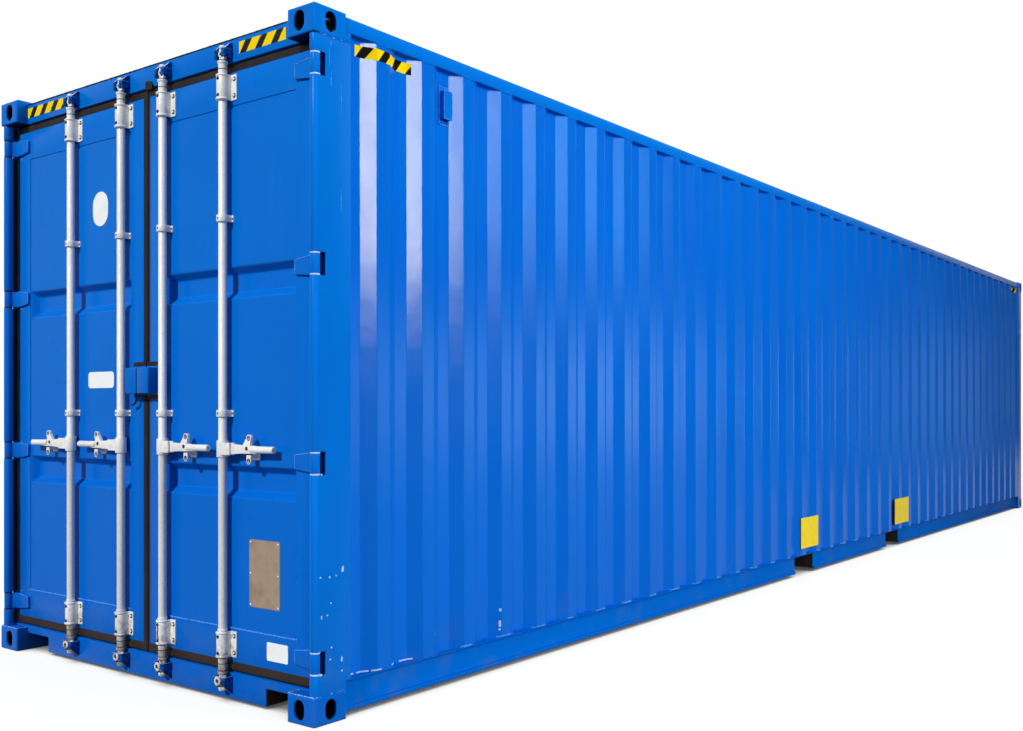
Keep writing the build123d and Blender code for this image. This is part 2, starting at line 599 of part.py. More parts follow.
# Right door leaf: a hollow frame round a pressed panel
leaf_w = LEAF_OUT - LEAF_IN
leaf_h = LEAF_Z1 - LEAF_Z0
leaf_y = -(LEAF_OUT + LEAF_IN) / 2
hole_w = leaf_w - 2 * STILE
hole_h = leaf_h - RAIL_TOP - RAIL_BOTTOM
hole_z = (LEAF_Z0 + RAIL_BOTTOM + LEAF_Z1 - RAIL_TOP) / 2
leaf_z = (LEAF_Z0 + LEAF_Z1) / 2
leaf_face = Plane((X_DOOR + LEAF_U, leaf_y, 0), x_dir=(0, -1, 0), z_dir=(-1, 0, 0))
with BuildPart() as right_door_frame:
    with BuildSketch(leaf_face):
        with Locations((0, leaf_z)):
            Rectangle(leaf_w, leaf_h)
        with Locations((0, hole_z)):
            Rectangle(hole_w, hole_h, mode=Mode.SUBTRACT)
    extrude(amount=-LEAF_T)
    with BuildSketch(leaf_face.offset(-LEAF_WALL)):
        with Locations((0, leaf_z)):
            Rectangle(leaf_w - 2 * LEAF_WALL, leaf_h - 2 * LEAF_WALL)
        with Locations((0, hole_z)):
            Rectangle(hole_w + 2 * LEAF_WALL, hole_h + 2 * LEAF_WALL, mode=Mode.SUBTRACT)
    extrude(amount=-(LEAF_T - 2 * LEAF_WALL), mode=Mode.SUBTRACT)

panel_face = leaf_face.offset(-PANEL_STEP)
with BuildPart() as right_door_panel:
    with BuildSketch(panel_face):
        with Locations((0, hole_z)):
            Rectangle(hole_w, hole_h)
    extrude(amount=-PANEL_T)
    for z in GROOVE_Z:
        with BuildSketch(panel_face):
            with Locations((0, z)):
                Rectangle(hole_w - 2 * GROOVE_END, GROOVE_H)
        extrude(amount=-GROOVE_DEPTH - PANEL_T, taper=GROOVE_TAPER)
    for z in GROOVE_Z:
        with BuildSketch(panel_face):
            with Locations((0, z)):
                Rectangle(hole_w - 2 * GROOVE_END - 2 * PANEL_T, GROOVE_H - 2 * PANEL_T)
        extrude(amount=-GROOVE_DEPTH, taper=GROOVE_TAPER, mode=Mode.SUBTRACT)

seal_out = WIDTH / 2 - JAMB_V - DOOR_GAP
with BuildPart() as right_door_gasket:
    with BuildSketch(Plane((X_DOOR + GASKET_U, 0, 0), x_dir=(0, -1, 0), z_dir=(-1, 0, 0))):
        with Locations(((seal_out + SEAM) / 2, (SILL_Z1 + HEADER_Z0) / 2)):
            Rectangle(seal_out - SEAM, HEADER_Z0 - SILL_Z1 - 2 * DOOR_GAP)
        with Locations((-leaf_y, leaf_z)):
            Rectangle(leaf_w, leaf_h, mode=Mode.SUBTRACT)
    extrude(amount=-GASKET_T)
    gasket_front = right_door_gasket.faces().sort_by(Axis.X)[0]
    chamfer(gasket_front.outer_wire().edges(), length=GASKET_CHAMFER)

with BuildPart() as right_door_hinge_blades:
    for z in HINGE_Z:
        with BuildSketch(door_corner.offset(z - BLADE_H / 2)):
            with BuildLine():
                Polyline(
                    (NOSE_U, NOSE_V),
                    (LEAF_U - BLADE_T / 2, NOSE_V + LEAF_U - BLADE_T / 2 - NOSE_U),
                    (LEAF_U - BLADE_T / 2, BLADE_END),
                )
            trace(line_width=BLADE_T)
            with Locations((NOSE_U, NOSE_V)):
                Circle(KNUCKLE_R)
                Circle(PIN_R + PIN_GAP, mode=Mode.SUBTRACT)
        extrude(amount=BLADE_H)
        with BuildSketch(Plane((X_DOOR, Y_RIGHT, z), x_dir=(0, 1, 0), z_dir=(1, 0, 0))):
            with BuildLine():
                Polyline(
                    (BLADE_TAPER, BLADE_H / 2),
                    (BLADE_END, BLADE_TIP / 2),
                    (BLADE_END, BLADE_H / 2),
                    close=True,
                )
            make_face()
            mirror(about=Plane.XZ)
        extrude(amount=LEAF_U, mode=Mode.SUBTRACT)

# Bearing brackets that hold each bar to the door: long saddles at the ends, short clips between
with BuildPart() as right_door_bar_brackets:
    for y in BAR_Y:
        for z, h, half, foot in (
            (SADDLE_Z[0], SADDLE_H, SADDLE_HALF, LEAF_U),
            (SADDLE_Z[1], SADDLE_H, SADDLE_HALF, LEAF_U),
            (CLIP_Z[0], CLIP_H, CLIP_HALF, LEAF_U + PANEL_STEP),
            (CLIP_Z[1], CLIP_H, CLIP_HALF, LEAF_U + PANEL_STEP),
        ):
            with BuildSketch(Plane((X_DOOR + BAR_U, y, z - h / 2))):
                Circle(SADDLE_R)
                with Locations(((foot - BAR_U) / 2, 0)):
                    Rectangle(foot - BAR_U, 2 * SADDLE_R)
                with Locations((foot - BAR_U - FOOT_T / 2, 0)):
                    Rectangle(FOOT_T, 2 * half)
                Circle(BAR_R + BAR_GAP, mode=Mode.SUBTRACT)
                with Locations(((foot - BAR_U) / 2, 0)):
                    Rectangle(foot - BAR_U, 2 * BAR_R, mode=Mode.SUBTRACT)
            extrude(amount=h)

rest_u = LEAF_U + PANEL_STEP
with BuildPart() as right_door_handle_rests:
    for y in BAR_Y:
        with BuildSketch(Plane((X_DOOR + rest_u, y - REST_S, HANDLE_Z), x_dir=(0, -1, 0), z_dir=(-1, 0, 0))):
            with Locations((0, -REST_DROP)):
                RectangleRounded(REST_FOOT, REST_FOOT, 6)
        extrude(amount=FOOT_T)
        with BuildSketch(
            Plane((X_DOOR + rest_u - FOOT_T, y - REST_S, HANDLE_Z - REST_DROP), x_dir=(0, -1, 0), z_dir=(-1, 0, 0))
        ):
            Rectangle(REST_W, REST_ARM, align=(Align.CENTER, Align.MAX))
        extrude(amount=rest_u - FOOT_T - HANDLE_U)
        with BuildSketch(
            Plane((X_DOOR + HANDLE_U + REST_T, y - REST_S, HANDLE_Z - REST_DROP), x_dir=(0, -1, 0), z_dir=(-1, 0, 0))
        ):
            Rectangle(REST_W, REST_EYE, align=(Align.CENTER, Align.MAX))
            with Locations((0, -REST_EYE)):
                Circle(REST_W / 2)
                Circle(EYE_R, mode=Mode.SUBTRACT)
        extrude(amount=REST_T)

# Lock box, a cover split at the seam so that each door opens on its own
with BuildPart() as right_door_lock_box:
    with BuildSketch(Plane((X_DOOR + LEAF_U, 0, BOX_Z0), x_dir=(0, -1, 0), z_dir=(0, 0, 1))):
        with Locations((BOX_GAP, -LEAF_U + BOX_U)):
            Rectangle(BOX_OUT - BOX_GAP, LEAF_U - BOX_U, align=Align.MIN)
    extrude(amount=BOX_Z1 - BOX_Z0)
    box_front = right_door_lock_box.edges().filter_by(lambda e: e.center().X < X_DOOR + BOX_U + 1)
    box_front = box_front.filter_by(lambda e: e.center().Y < -BOX_GAP - 1)
    fillet(box_front.filter_by(lambda e: e.center().Z > BOX_Z0 + 1), radius=6)
    with BuildSketch(Plane((X_DOOR + LEAF_U, 0, BOX_Z0), x_dir=(0, -1, 0), z_dir=(0, 0, 1))):
        with Locations((BOX_GAP, -LEAF_U + BOX_U + BOX_T)):
            Rectangle(BOX_OUT - BOX_GAP - BOX_T, LEAF_U - BOX_U - 2 * BOX_T, align=Align.MIN)
    extrude(amount=BOX_Z1 - BOX_Z0 - BOX_T, mode=Mode.SUBTRACT)
    with BuildSketch(Plane((X_DOOR + LEAF_U, 0, 0), x_dir=(0, -1, 0), z_dir=(-1, 0, 0))):
        with Locations((BOX_GAP, BOX_Z0 - BOX_FLANGE)):
            Rectangle(BOX_OUT + BOX_FLANGE - BOX_GAP, BOX_Z1 - BOX_Z0 + 2 * BOX_FLANGE, align=Align.MIN)
    extrude(amount=BOX_T)

# Locking bars: tube, shoulders, T-headed cams at both ends and the clevis for the handle
shoulder_z0 = CAM_Z[0] + KEEPER_H / 2 + SHOULDER_GAP
shoulder_z1 = CAM_Z[1] - KEEPER_H / 2 - SHOULDER_GAP


def locking_bar(y):
    with BuildPart() as bar:
        with BuildSketch(Plane((X_DOOR + BAR_U, y, BAR_Z0))):
            Circle(BAR_R)
        extrude(amount=BAR_Z1 - BAR_Z0)
        with BuildSketch(Plane((X_DOOR + BAR_U, y, CAM_Z[0] - CAM_H / 2 - 10))):
            Circle(NECK_R)
        extrude(amount=CAM_Z[1] - CAM_Z[0] + CAM_H + 20)
        with BuildSketch(Plane((X_DOOR + BAR_U, y, shoulder_z0))):
            Circle(SHOULDER_R)
        extrude(amount=shoulder_z1 - shoulder_z0)
        with BuildSketch(
            Plane((X_DOOR + BAR_U, y, CAM_Z[0] - CAM_H / 2)), Plane((X_DOOR + BAR_U, y, CAM_Z[1] - CAM_H / 2))
        ):
            SlotOverall(2 * CAM_HALF, CAM_T, rotation=90)
        extrude(amount=CAM_H)
        with BuildSketch(Plane((X_DOOR + BAR_U, y, BAR_Z0 + 20))):
            Circle(BAR_R - BAR_WALL)
        extrude(amount=BAR_Z1 - BAR_Z0 - 40, mode=Mode.SUBTRACT)
        with BuildSketch(Plane((X_DOOR + BAR_U, y, HANDLE_Z - 36))):
            Circle(BAR_R + 7)
            Circle(BAR_R - BAR_WALL, mode=Mode.SUBTRACT)
        extrude(amount=72)
        clevis = Plane((X_DOOR + HANDLE_U, y, HANDLE_Z), x_dir=(0, -1, 0), z_dir=(-1, 0, 0))
        with BuildSketch(clevis.offset(2), clevis.offset(-HANDLE_T - 10)):
            Rectangle(PIVOT_S + 20, 52, align=(Align.MIN, Align.CENTER))
        extrude(amount=8)
        with BuildSketch(Plane((X_DOOR + BAR_U, y, HANDLE_Z - 36))):
            Circle(BAR_R - BAR_WALL)
        extrude(amount=72, mode=Mode.SUBTRACT)
        with BuildSketch(clevis.offset(12)):
            with Locations((PIVOT_S, 0)):
                Circle(PIVOT_R)
        extrude(amount=-HANDLE_T - 24)
    return bar


def locking_handle(y):
    lever = Plane((X_DOOR + HANDLE_U, y, HANDLE_Z), x_dir=(0, -1, 0), z_dir=(-1, 0, 0))
    with BuildPart() as handle:
        with BuildSketch(lever):
            with BuildLine():
                Polyline(
                    (PIVOT_S, 24),
                    (EAR_S - 60, 18),
                    (EAR_S - 38, 18),
                    (EAR_S - EAR_R, EAR_H),
                    (EAR_S + EAR_R, EAR_H),
                    (EAR_S + 8, 17),
                    (GRIP_S + 40, GRIP_R),
                    (GRIP_S + 40, -GRIP_R),
                    (EAR_S + 8, -17),
                    (EAR_S - 60, -18),
                    (PIVOT_S, -24),
                    close=True,
                )
            make_face()
            with Locations((EAR_S, EAR_H)):
                Circle(EAR_R)
            with Locations((PIVOT_S, 0)):
                Circle(24)
                Circle(PIVOT_R + PIN_GAP, mode=Mode.SUBTRACT)
            with Locations((EAR_S, EAR_H)):
                Circle(EYE_R, mode=Mode.SUBTRACT)
        extrude(amount=-HANDLE_T)
        with BuildSketch(Plane((X_DOOR + HANDLE_U + HANDLE_T / 2, y - GRIP_S, HANDLE_Z), x_dir=(0, 0, 1), z_dir=(0, -1, 0))):
            Circle(GRIP_R)
        extrude(amount=HANDLE_L - GRIP_S)
        fillet(handle.edges().filter_by(lambda e: e.center().Y < y - HANDLE_L + 1), radius=4)
    return handle


right_inner_bar = locking_bar(BAR_Y[0])
right_outer_bar = locking_bar(BAR_Y[1])
right_inner_handle = locking_handle(BAR_Y[0])
right_outer_handle = locking_handle(BAR_Y[1])

pieces = {
    "bottom_corner_castings": bottom_corner_castings,
    "top_corner_castings": top_corner_castings,
    "right_door_post": right_door_post,
    "left_door_post": left_door_post,
    "hinge_pins": hinge_pins,
    "blind_end_posts": blind_end_posts,
    "post_caps": post_caps,
    "door_header": door_header,
    "door_sill": door_sill,
    "top_side_rails": top_side_rails,
    "right_bottom_rail": right_bottom_rail,
    "left_bottom_rail": left_bottom_rail,
    "right_side_wall": right_side_wall,
    "left_side_wall": left_side_wall,
    "blind_end_wall": blind_end_wall,
    "blind_end_top_rail": blind_end_top_rail,
    "blind_end_bottom_rail": blind_end_bottom_rail,
    "roof_panel": roof_panel,
    "roof_end_plates": roof_end_plates,
    "cross_members": cross_members,
    "tunnel_outriggers": tunnel_outriggers,
    "tunnel_sides": tunnel_sides,
    "tunnel_roof": tunnel_roof,
    "fork_pockets": fork_pockets,
    "floor_boards": floor_boards,
    "ventilators": ventilators,
    "upper_cam_keepers": upper_cam_keepers,
    "lower_cam_keepers": lower_cam_keepers,
}
right_pieces = {
    "door_frame": right_door_frame,
    "door_panel": right_door_panel,
    "door_gasket": right_door_gasket,
    "door_hinge_blades": right_door_hinge_blades,
    "door_bar_brackets": right_door_bar_brackets,
    "door_handle_rests": right_door_handle_rests,
    "door_lock_box": right_door_lock_box,
    "inner_bar": right_inner_bar,
    "outer_bar": right_outer_bar,
    "inner_handle": right_inner_handle,
    "outer_handle": right_outer_handle,
}
for name, piece in right_pieces.items():
    pieces["right_" + name] = piece
    with BuildPart() as left_piece:
        mirror(piece.part, about=Plane.XZ)
    pieces["left_" + name] = left_piece

for name, piece in pieces.items():
    piece.part.label = name
    export_step(piece.part, "parts/" + name + ".step")
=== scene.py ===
# %% [markdown]
# # A blue forty-foot container with its two doors
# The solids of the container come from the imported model: walls, posts, castings, doors, bars and
# handles. This script gives them their finishes and adds what a maker puts on last: bolts, weld
# beads, tapes, blank plates, chips and dirt. All lengths are metres. X runs along the container,
# the doors stand at the low end of X, and the long side that the camera sees faces negative Y.

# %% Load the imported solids
import math
import random

import bpy
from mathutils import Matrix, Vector, noise


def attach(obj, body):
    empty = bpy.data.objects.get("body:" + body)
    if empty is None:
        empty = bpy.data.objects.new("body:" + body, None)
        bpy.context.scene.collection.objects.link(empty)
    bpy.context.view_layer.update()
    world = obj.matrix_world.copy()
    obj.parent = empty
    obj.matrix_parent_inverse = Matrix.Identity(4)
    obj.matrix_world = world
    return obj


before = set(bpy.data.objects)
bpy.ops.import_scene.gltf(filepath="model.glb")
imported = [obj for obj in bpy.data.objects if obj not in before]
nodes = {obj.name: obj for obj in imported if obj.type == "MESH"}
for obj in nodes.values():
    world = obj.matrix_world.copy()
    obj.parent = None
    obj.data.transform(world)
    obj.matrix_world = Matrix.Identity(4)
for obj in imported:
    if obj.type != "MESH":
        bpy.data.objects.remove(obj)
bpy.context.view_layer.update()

# %% [markdown]
# ## The places that the dressing needs
# A piece is placed by the measures that the maker uses: how far in from the door end, how far in
# from the side, and how high. Two small functions follow the folds of the side walls, so that films
# and weld beads can lie on them.

# %% Measures of the container
DOOR_END = -6.096
SIDE = 1.219
SKIN = 0.004
WALL_START = -5.890
WALL_FIRST = 0.086
WAVES = 41
WALL_PITCH = 11.780 / WAVES
WALL_SLOPE = 0.068
WALL_DEPTH = 0.036
WALL_FLAT = WALL_PITCH / 2 - WALL_SLOPE
BASE_RAIL_TOP = 0.158
TOP_RAIL_LOW = 2.822
LEAF_FACE = DOOR_END + 0.066
PANEL_FACE = DOOR_END + 0.069
HEADER_FACE = DOOR_END + 0.062
BAR_PLACES = (0.165, 0.600)
SADDLE_HEIGHTS = (0.250, 2.668)
CLIP_HEIGHTS = (1.253, 2.099)
HINGE_HEIGHTS = (0.251, 1.0533, 1.8557, 2.658)
HINGE_AXIS = (DOOR_END + 0.028, 1.193)
KEEPER_PLACES = (-0.600, -0.165, 0.165, 0.600)
VENT_PLACES = (-5.2673, -5.2673 + 36 * WALL_PITCH)
VENT_HEIGHT = 2.665
SIDES = (("left", 1), ("right", -1))
OUT = (-1, 0, 0)
UP = (0, 0, 1)


def wall_inset(x):
    """How far the outer face of a side wall lies in from the side, at a place along it."""
    along = x - WALL_START - WALL_FIRST
    wave = math.floor(along / WALL_PITCH)
    part = along - wave * WALL_PITCH
    valley = SKIN + WALL_DEPTH
    if wave < 0:
        return valley
    if part < WALL_SLOPE:
        return valley - WALL_DEPTH * part / WALL_SLOPE
    if part < WALL_SLOPE + WALL_FLAT or wave >= WAVES - 1:
        return SKIN
    if part < 2 * WALL_SLOPE + WALL_FLAT:
        return SKIN + WALL_DEPTH * (part - WALL_SLOPE - WALL_FLAT) / WALL_SLOPE
    return valley


def wall_folds(start, end):
    """The places between start and end where the side wall's face bends, with both ends."""
    places = [start]
    for wave in range(WAVES):
        first = WALL_START + WALL_FIRST + wave * WALL_PITCH
        bends = [0.0, WALL_SLOPE]
        if wave < WAVES - 1:
            bends += [WALL_SLOPE + WALL_FLAT, 2 * WALL_SLOPE + WALL_FLAT]
        for bend in bends:
            if start + 0.001 < first + bend < end - 0.001:
                places.append(first + bend)
    places.append(end)
    return places


print("wall pitch", round(WALL_PITCH, 4), "flat", round(WALL_FLAT, 4))

# %% [markdown]
# ## Small helpers for finishes
# Every finish is a Principled shader fed by a few noise patterns in object coordinates. Object
# coordinates stay with the piece when a door swings, so dirt and streaks don't slide. The helpers
# below only shorten the wiring: a pattern, a window on it, and a mix of two colours.


# %% Helpers for shader nodes
def linear(red, green, blue):
    """A colour as read from a screen, 0 to 255, turned into the linear values shaders use."""
    out = []
    for value in (red, green, blue):
        part = value / 255
        out.append(part / 12.92 if part <= 0.04045 else ((part + 0.055) / 1.055) ** 2.4)
    return (*out, 1.0)


def new_finish(name):
    """A new material, its node tree and its shader."""
    finish = bpy.data.materials.new(name)
    finish.use_nodes = True
    tree = finish.node_tree
    return finish, tree, tree.nodes["Principled BSDF"]


def feed(node, name, value):
    """Sets an input of a node: wires a socket to it, or gives it a plain value."""
    if isinstance(value, bpy.types.NodeSocket):
        node.id_data.links.new(value, node.inputs[name])
    else:
        node.inputs[name].default_value = value


def place_of(tree, kind="Object"):
    """The place on the piece, in metres, as a socket. Normal gives the way its face looks."""
    return tree.nodes.new("ShaderNodeTexCoord").outputs[kind]


def pattern(place, scale, detail=4.0, stretch=(1, 1, 1), roughness=0.55):
    """A noise pattern, stretched along an axis where its factor is small."""
    tree = place.id_data
    mapping = tree.nodes.new("ShaderNodeMapping")
    feed(mapping, "Scale", stretch)
    feed(mapping, "Vector", place)
    cloud = tree.nodes.new("ShaderNodeTexNoise")
    feed(cloud, "Scale", scale)
    feed(cloud, "Detail", detail)
    feed(cloud, "Roughness", roughness)
    feed(cloud, "Vector", mapping.outputs["Vector"])
    return cloud.outputs["Fac"]


def window(value, low, high, at_low=0.0, at_high=1.0):
    """Turns the range low to high of a pattern into at_low to at_high, and holds the ends."""
    ramp = value.id_data.nodes.new("ShaderNodeMapRange")
    ramp.clamp = True
    feed(ramp, "Value", value)
    feed(ramp, "From Min", low)
    feed(ramp, "From Max", high)
    feed(ramp, "To Min", at_low)
    feed(ramp, "To Max", at_high)
    return ramp.outputs["Result"]


def maths(kind, first, second):
    """One arithmetic step between a pattern and a second pattern or a number."""
    step = first.id_data.nodes.new("ShaderNodeMath")
    step.operation = kind
    feed(step, 0, first)
    feed(step, 1, second)
    return step.outputs["Value"]


def tint(amount, under, over):
    """Lays one colour over another by a pattern. Each colour is a socket or four numbers."""
    mix = amount.id_data.nodes.new("ShaderNodeMix")
    mix.data_type = "RGBA"
    feed(mix, "Factor", amount)
    feed(mix, 6, under)
    feed(mix, 7, over)
    return mix.outputs[2]


def axis_of(place, axis):
    """One of the three parts of a place."""
    split = place.id_data.nodes.new("ShaderNodeSeparateXYZ")
    feed(split, "Vector", place)
    return split.outputs[axis]


def relief(shader, height, depth, strength=1.0):
    """A fine relief of the surface, depth in metres."""
    bump = height.id_data.nodes.new("ShaderNodeBump")
    feed(bump, "Strength", strength)
    feed(bump, "Distance", depth)
    feed(bump, "Height", height)
    feed(shader, "Normal", bump.outputs["Normal"])


print("finish helpers ready")

# %% [markdown]
# ## Blue paint
# Container paint is a thick sprayed coat: slightly wavy like orange peel, semi-gloss, a little
# faded in broad clouds, with pale vertical wash marks where rain runs down, and dust near the
# floor. Walls also need a plain grey primer inside. The inner face is found from the direction of
# the face in object space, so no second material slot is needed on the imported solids.

# %% Blue paint finishes
BLUE = linear(2, 115, 215)
BLUE_DEEP = linear(2, 109, 208)
BLUE_WASHED = linear(24, 118, 217)
# The colour of the painted shade low down.
BLUE_PAINTED_LOW_SHADE = linear(2, 95, 198)
SIDE_BLUES = (linear(2, 106, 213), linear(2, 101, 207))
ROAD_DUST = linear(96, 98, 104)
INSIDE_GREY = linear(188, 190, 188)
PRIMER = linear(196, 212, 232)


def blue_paint(name, inner_axis=None, blues=(BLUE, BLUE_DEEP), shade=0.75, gloss=(0.20, 0.30), shine=0.04):
    """Sprayed blue. inner_axis greys the inside, shade sets a painted shade low down, gloss is roughness.
    """
    finish, tree, shader = new_finish(name)
    place = place_of(tree)
    broad = window(pattern(place, 0.8, 3), 0.35, 0.65)
    colour = tint(broad, blues[1], blues[0])
    runs = window(pattern(place, 1.0, 5, (16, 16, 0.6)), 0.58, 0.80, 0.0, 0.45)
    colour = tint(runs, colour, BLUE_WASHED)
    height = axis_of(place, "Z")
    # Painted shade: the coat darkens towards the bottom, by the amount that shade gives.
    colour = tint(window(height, 0.1, 2.3, shade, 0.0), colour, BLUE_PAINTED_LOW_SHADE)
    low = window(height, 0.02, 0.45, 1.0, 0.0)
    blot = window(pattern(place, 7.0, 6), 0.50, 0.76, 0.0, 0.22)
    grime = maths("MULTIPLY", low, blot)
    colour = tint(grime, colour, ROAD_DUST)
    if inner_axis:
        away = axis_of(place_of(tree, "Normal"), inner_axis)
        if inner_axis != "Z":
            away = maths("MULTIPLY", away, axis_of(place, inner_axis))
        inner = maths("LESS_THAN", away, -0.05)
        colour = tint(inner, colour, INSIDE_GREY)
    feed(shader, "Base Color", colour)
    rough = window(pattern(place, 3.0, 4), 0.3, 0.7, *gloss)
    feed(shader, "Roughness", maths("ADD", rough, grime))
    feed(shader, "Specular IOR Level", shine)
    peel = pattern(place, 240.0, 2)
    sway = pattern(place, 5.0, 2)
    both = maths("MULTIPLY_ADD", sway, 9.0)
    feed(both.node, 2, peel)
    relief(shader, both, 0.00035, 0.6)
    return finish


def base_coat(name):
    """Blue paint to work on: the finish, its shader, a place on it and its colour so far."""
    finish = blue_paint(name)
    shader = finish.node_tree.nodes["Principled BSDF"]
    coat = shader.inputs["Base Color"].links[0].from_socket
    return finish, shader, place_of(finish.node_tree), coat


def casting_paint(name, middle_height):
    """Blue paint on a corner casting, with painted shade: near black inside, where its slots show, and dark
    blue on faces that look down.
    """
    finish, shader, place, coat = base_coat(name)
    inside = None
    for axis, middle, half in (("X", 6.007, 0.089), ("Y", 1.138, 0.081), ("Z", middle_height, 0.059)):
        spot = axis_of(place, axis)
        if axis != "Z":
            spot = maths("ABSOLUTE", spot, 0.0)
        gap = maths("ABSOLUTE", maths("SUBTRACT", spot, middle), 0.0)
        within = window(gap, half - 0.012, half - 0.004, 1.0, 0.0)
        inside = within if inside is None else maths("MULTIPLY", inside, within)
    # Painted shade: the inner faces of the hollow casting turn near black.
    coat = tint(inside, coat, linear(9, 10, 14))
    # Painted shade: faces that look down turn dark blue.
    under = window(axis_of(place_of(finish.node_tree, "Normal"), "Z"), -0.9, -0.6, 0.9, 0.0)
    feed(shader, "Base Color", tint(under, coat, linear(8, 16, 34)))
    return finish


def chipped_and_painted_light(name, low, high, under=PRIMER):
    """Blue paint with a second colour in small spots, for chips down to primer and also for painted
    highlight and painted shade. low and high set how much of the coat it covers.
    """
    finish, shader, place, coat = base_coat(name)
    gone = window(pattern(place, 90.0, 5), low, high, 0.0, 0.9)
    feed(shader, "Base Color", tint(gone, coat, under))
    return finish


paint = blue_paint("blue_paint_coat")
# Pale spots on the weld beads at the castings: partly worn paint, partly painted highlight.
worn_and_highlight_paint = chipped_and_painted_light("blue_paint_worn_and_highlit_welds", 0.56, 0.66, linear(150, 190, 236))
# Light blue over the coat: scratches on the post, and painted highlight on rims and edges.
rubbed_and_highlight_paint = chipped_and_painted_light("blue_paint_rubbed_edges", 0.30, 0.55, linear(96, 158, 236))
# Painted shade: navy spots that darken the keepers and their gussets.
keeper_paint_with_painted_shade = chipped_and_painted_light("blue_paint_painted_shade_keepers", 0.36, 0.60, linear(8, 30, 66))
# Pale primer for the chips and drips, and also painted highlight on the right hinge washers and at the
# wall's foot.
primer_and_highlight_paint = chipped_and_painted_light("pale_primer_chips_and_highlights", 0.10, 0.30)
# Painted highlight: pale rims on the tops of the low castings.
pale_highlight_paint = chipped_and_painted_light("blue_paint_pale_highlights", 0.40, 0.60, linear(170, 202, 240))
paint_casting_low = casting_paint("blue_paint_low_castings", 0.059)
paint_casting_high = casting_paint("blue_paint_high_castings", 2.837)
paint_side = blue_paint("blue_paint_side_wall", "Y", SIDE_BLUES, 0.0, (0.17, 0.24))
paint_end = blue_paint("blue_paint_end_wall", "X")
# The bottom rails and door posts take their own, smaller amounts of painted shade low down.
paint_rail = blue_paint("blue_paint_bottom_rails", shade=0.6, gloss=(0.5, 0.6), shine=0.01)
paint_roof = blue_paint("blue_paint_roof", "Z")
paint_post = blue_paint("blue_paint_door_posts", shade=0.3)
print("paint finishes:", paint.name, paint_side.name, paint_end.name, paint_roof.name)

# %% [markdown]
# ## Galvanised steel
# The bars, brackets and handles are hot-dip galvanised: pale grey, nearly matt, with the faint
# flakes of zinc crystals. Brown stains gather low down, where water stands. A cell pattern gives
# the flakes, and a height window keeps the stains near the bottom.

# %% Galvanised steel finish
ZINC = linear(244, 243, 240)
ZINC_DULL = linear(206, 207, 206)
STAIN = linear(104, 78, 58)
WEATHERED = linear(158, 148, 134)


def galvanised_steel(name, stains=1.0):
    """Flaky zinc, weathered at the foot. stains sets how rusty it is."""
    finish, tree, shader = new_finish(name)
    place = place_of(tree)
    cells = tree.nodes.new("ShaderNodeTexVoronoi")
    feed(cells, "Scale", 120.0)
    feed(cells, "Vector", place)
    flake = axis_of(cells.outputs["Color"], "X")
    colour = tint(window(flake, 0.0, 1.0, 0.0, 0.35), ZINC, ZINC_DULL)
    cloud = window(pattern(place, 5.0, 5, (1, 1, 0.4)), 0.45, 0.75, 0.0, 0.5)
    colour = tint(cloud, colour, ZINC_DULL)
    height = axis_of(place, "Z")
    foot = window(height, 0.16, 0.21, 0.85, 0.0)
    foot = maths("MULTIPLY", foot, window(height, 0.112, 0.126, 0.25, 1.0))
    colour = tint(foot, colour, WEATHERED)
    low = window(height, 0.12, 0.34, 1.0, 0.0)
    blot = window(pattern(place, 34.0, 6), 0.48, 0.64, 0.0, 0.85 * stains)
    rust = maths("MULTIPLY", low, blot)
    specks = window(pattern(place, 60.0, 3), 0.70, 0.76, 0.0, 0.35 * stains)
    rust = maths("MAXIMUM", rust, specks)
    colour = tint(rust, colour, STAIN)
    feed(shader, "Base Color", colour)
    feed(shader, "Metallic", 0.08)
    feed(shader, "Specular IOR Level", 0.2)
    rough = window(flake, 0.0, 1.0, 0.42, 0.56)
    rough = maths("ADD", rough, maths("MULTIPLY", rust, 0.3))
    feed(shader, "Roughness", rough)
    grain = pattern(place, 300.0, 3)
    relief(shader, maths("ADD", grain, flake), 0.0002, 0.5)
    return finish


def dark_steel(name):
    """Bare steel gone black, with rust in blots. It also serves as painted shade in holes, gaps, grooves
    and recesses.
    """
    finish, tree, shader = new_finish(name)
    place = place_of(tree)
    rusty = window(pattern(place, 60.0, 5), 0.45, 0.70, 0.0, 0.8)
    feed(shader, "Base Color", tint(rusty, linear(22, 20, 20), linear(64, 44, 32)))
    feed(shader, "Roughness", window(rusty, 0.0, 0.8, 0.5, 0.8))
    feed(shader, "Specular IOR Level", 0.15)
    relief(shader, pattern(place, 220.0, 3), 0.0003, 0.6)
    return finish


zinc = galvanised_steel("galvanised_steel_hardware")
shade_black_steel = dark_steel("dark_steel_and_painted_shade")
print("zinc finish:", zinc.name)

# %% [markdown]
# ## Rubber and plywood
# The door gasket is black rubber gone brown-grey with dust, and the floor inside is bare hardwood
# plywood with long grain and dark scuffs. Both are dull, so their character is in colour and relief.

# %% Rubber and plywood finishes
RUBBER = linear(30, 27, 27)
RUBBER_DUSTY = linear(58, 51, 48)
PLY = linear(150, 108, 66)
PLY_DARK = linear(98, 66, 40)


def gasket_rubber(name):
    """Black rubber under dust, browner low down."""
    finish, tree, shader = new_finish(name)
    place = place_of(tree)
    dusty = window(pattern(place, 9.0, 6, (1, 1, 0.5)), 0.42, 0.72, 0.0, 0.7)
    colour = tint(dusty, RUBBER, RUBBER_DUSTY)
    low = window(axis_of(place, "Z"), 0.13, 0.30, 0.35, 0.0)
    colour = tint(low, colour, linear(64, 46, 36))
    feed(shader, "Base Color", colour)
    feed(shader, "Roughness", window(dusty, 0.0, 0.7, 0.5, 0.8))
    feed(shader, "Specular IOR Level", 0.1)
    relief(shader, pattern(place, 180.0, 4), 0.0004, 0.6)
    return finish


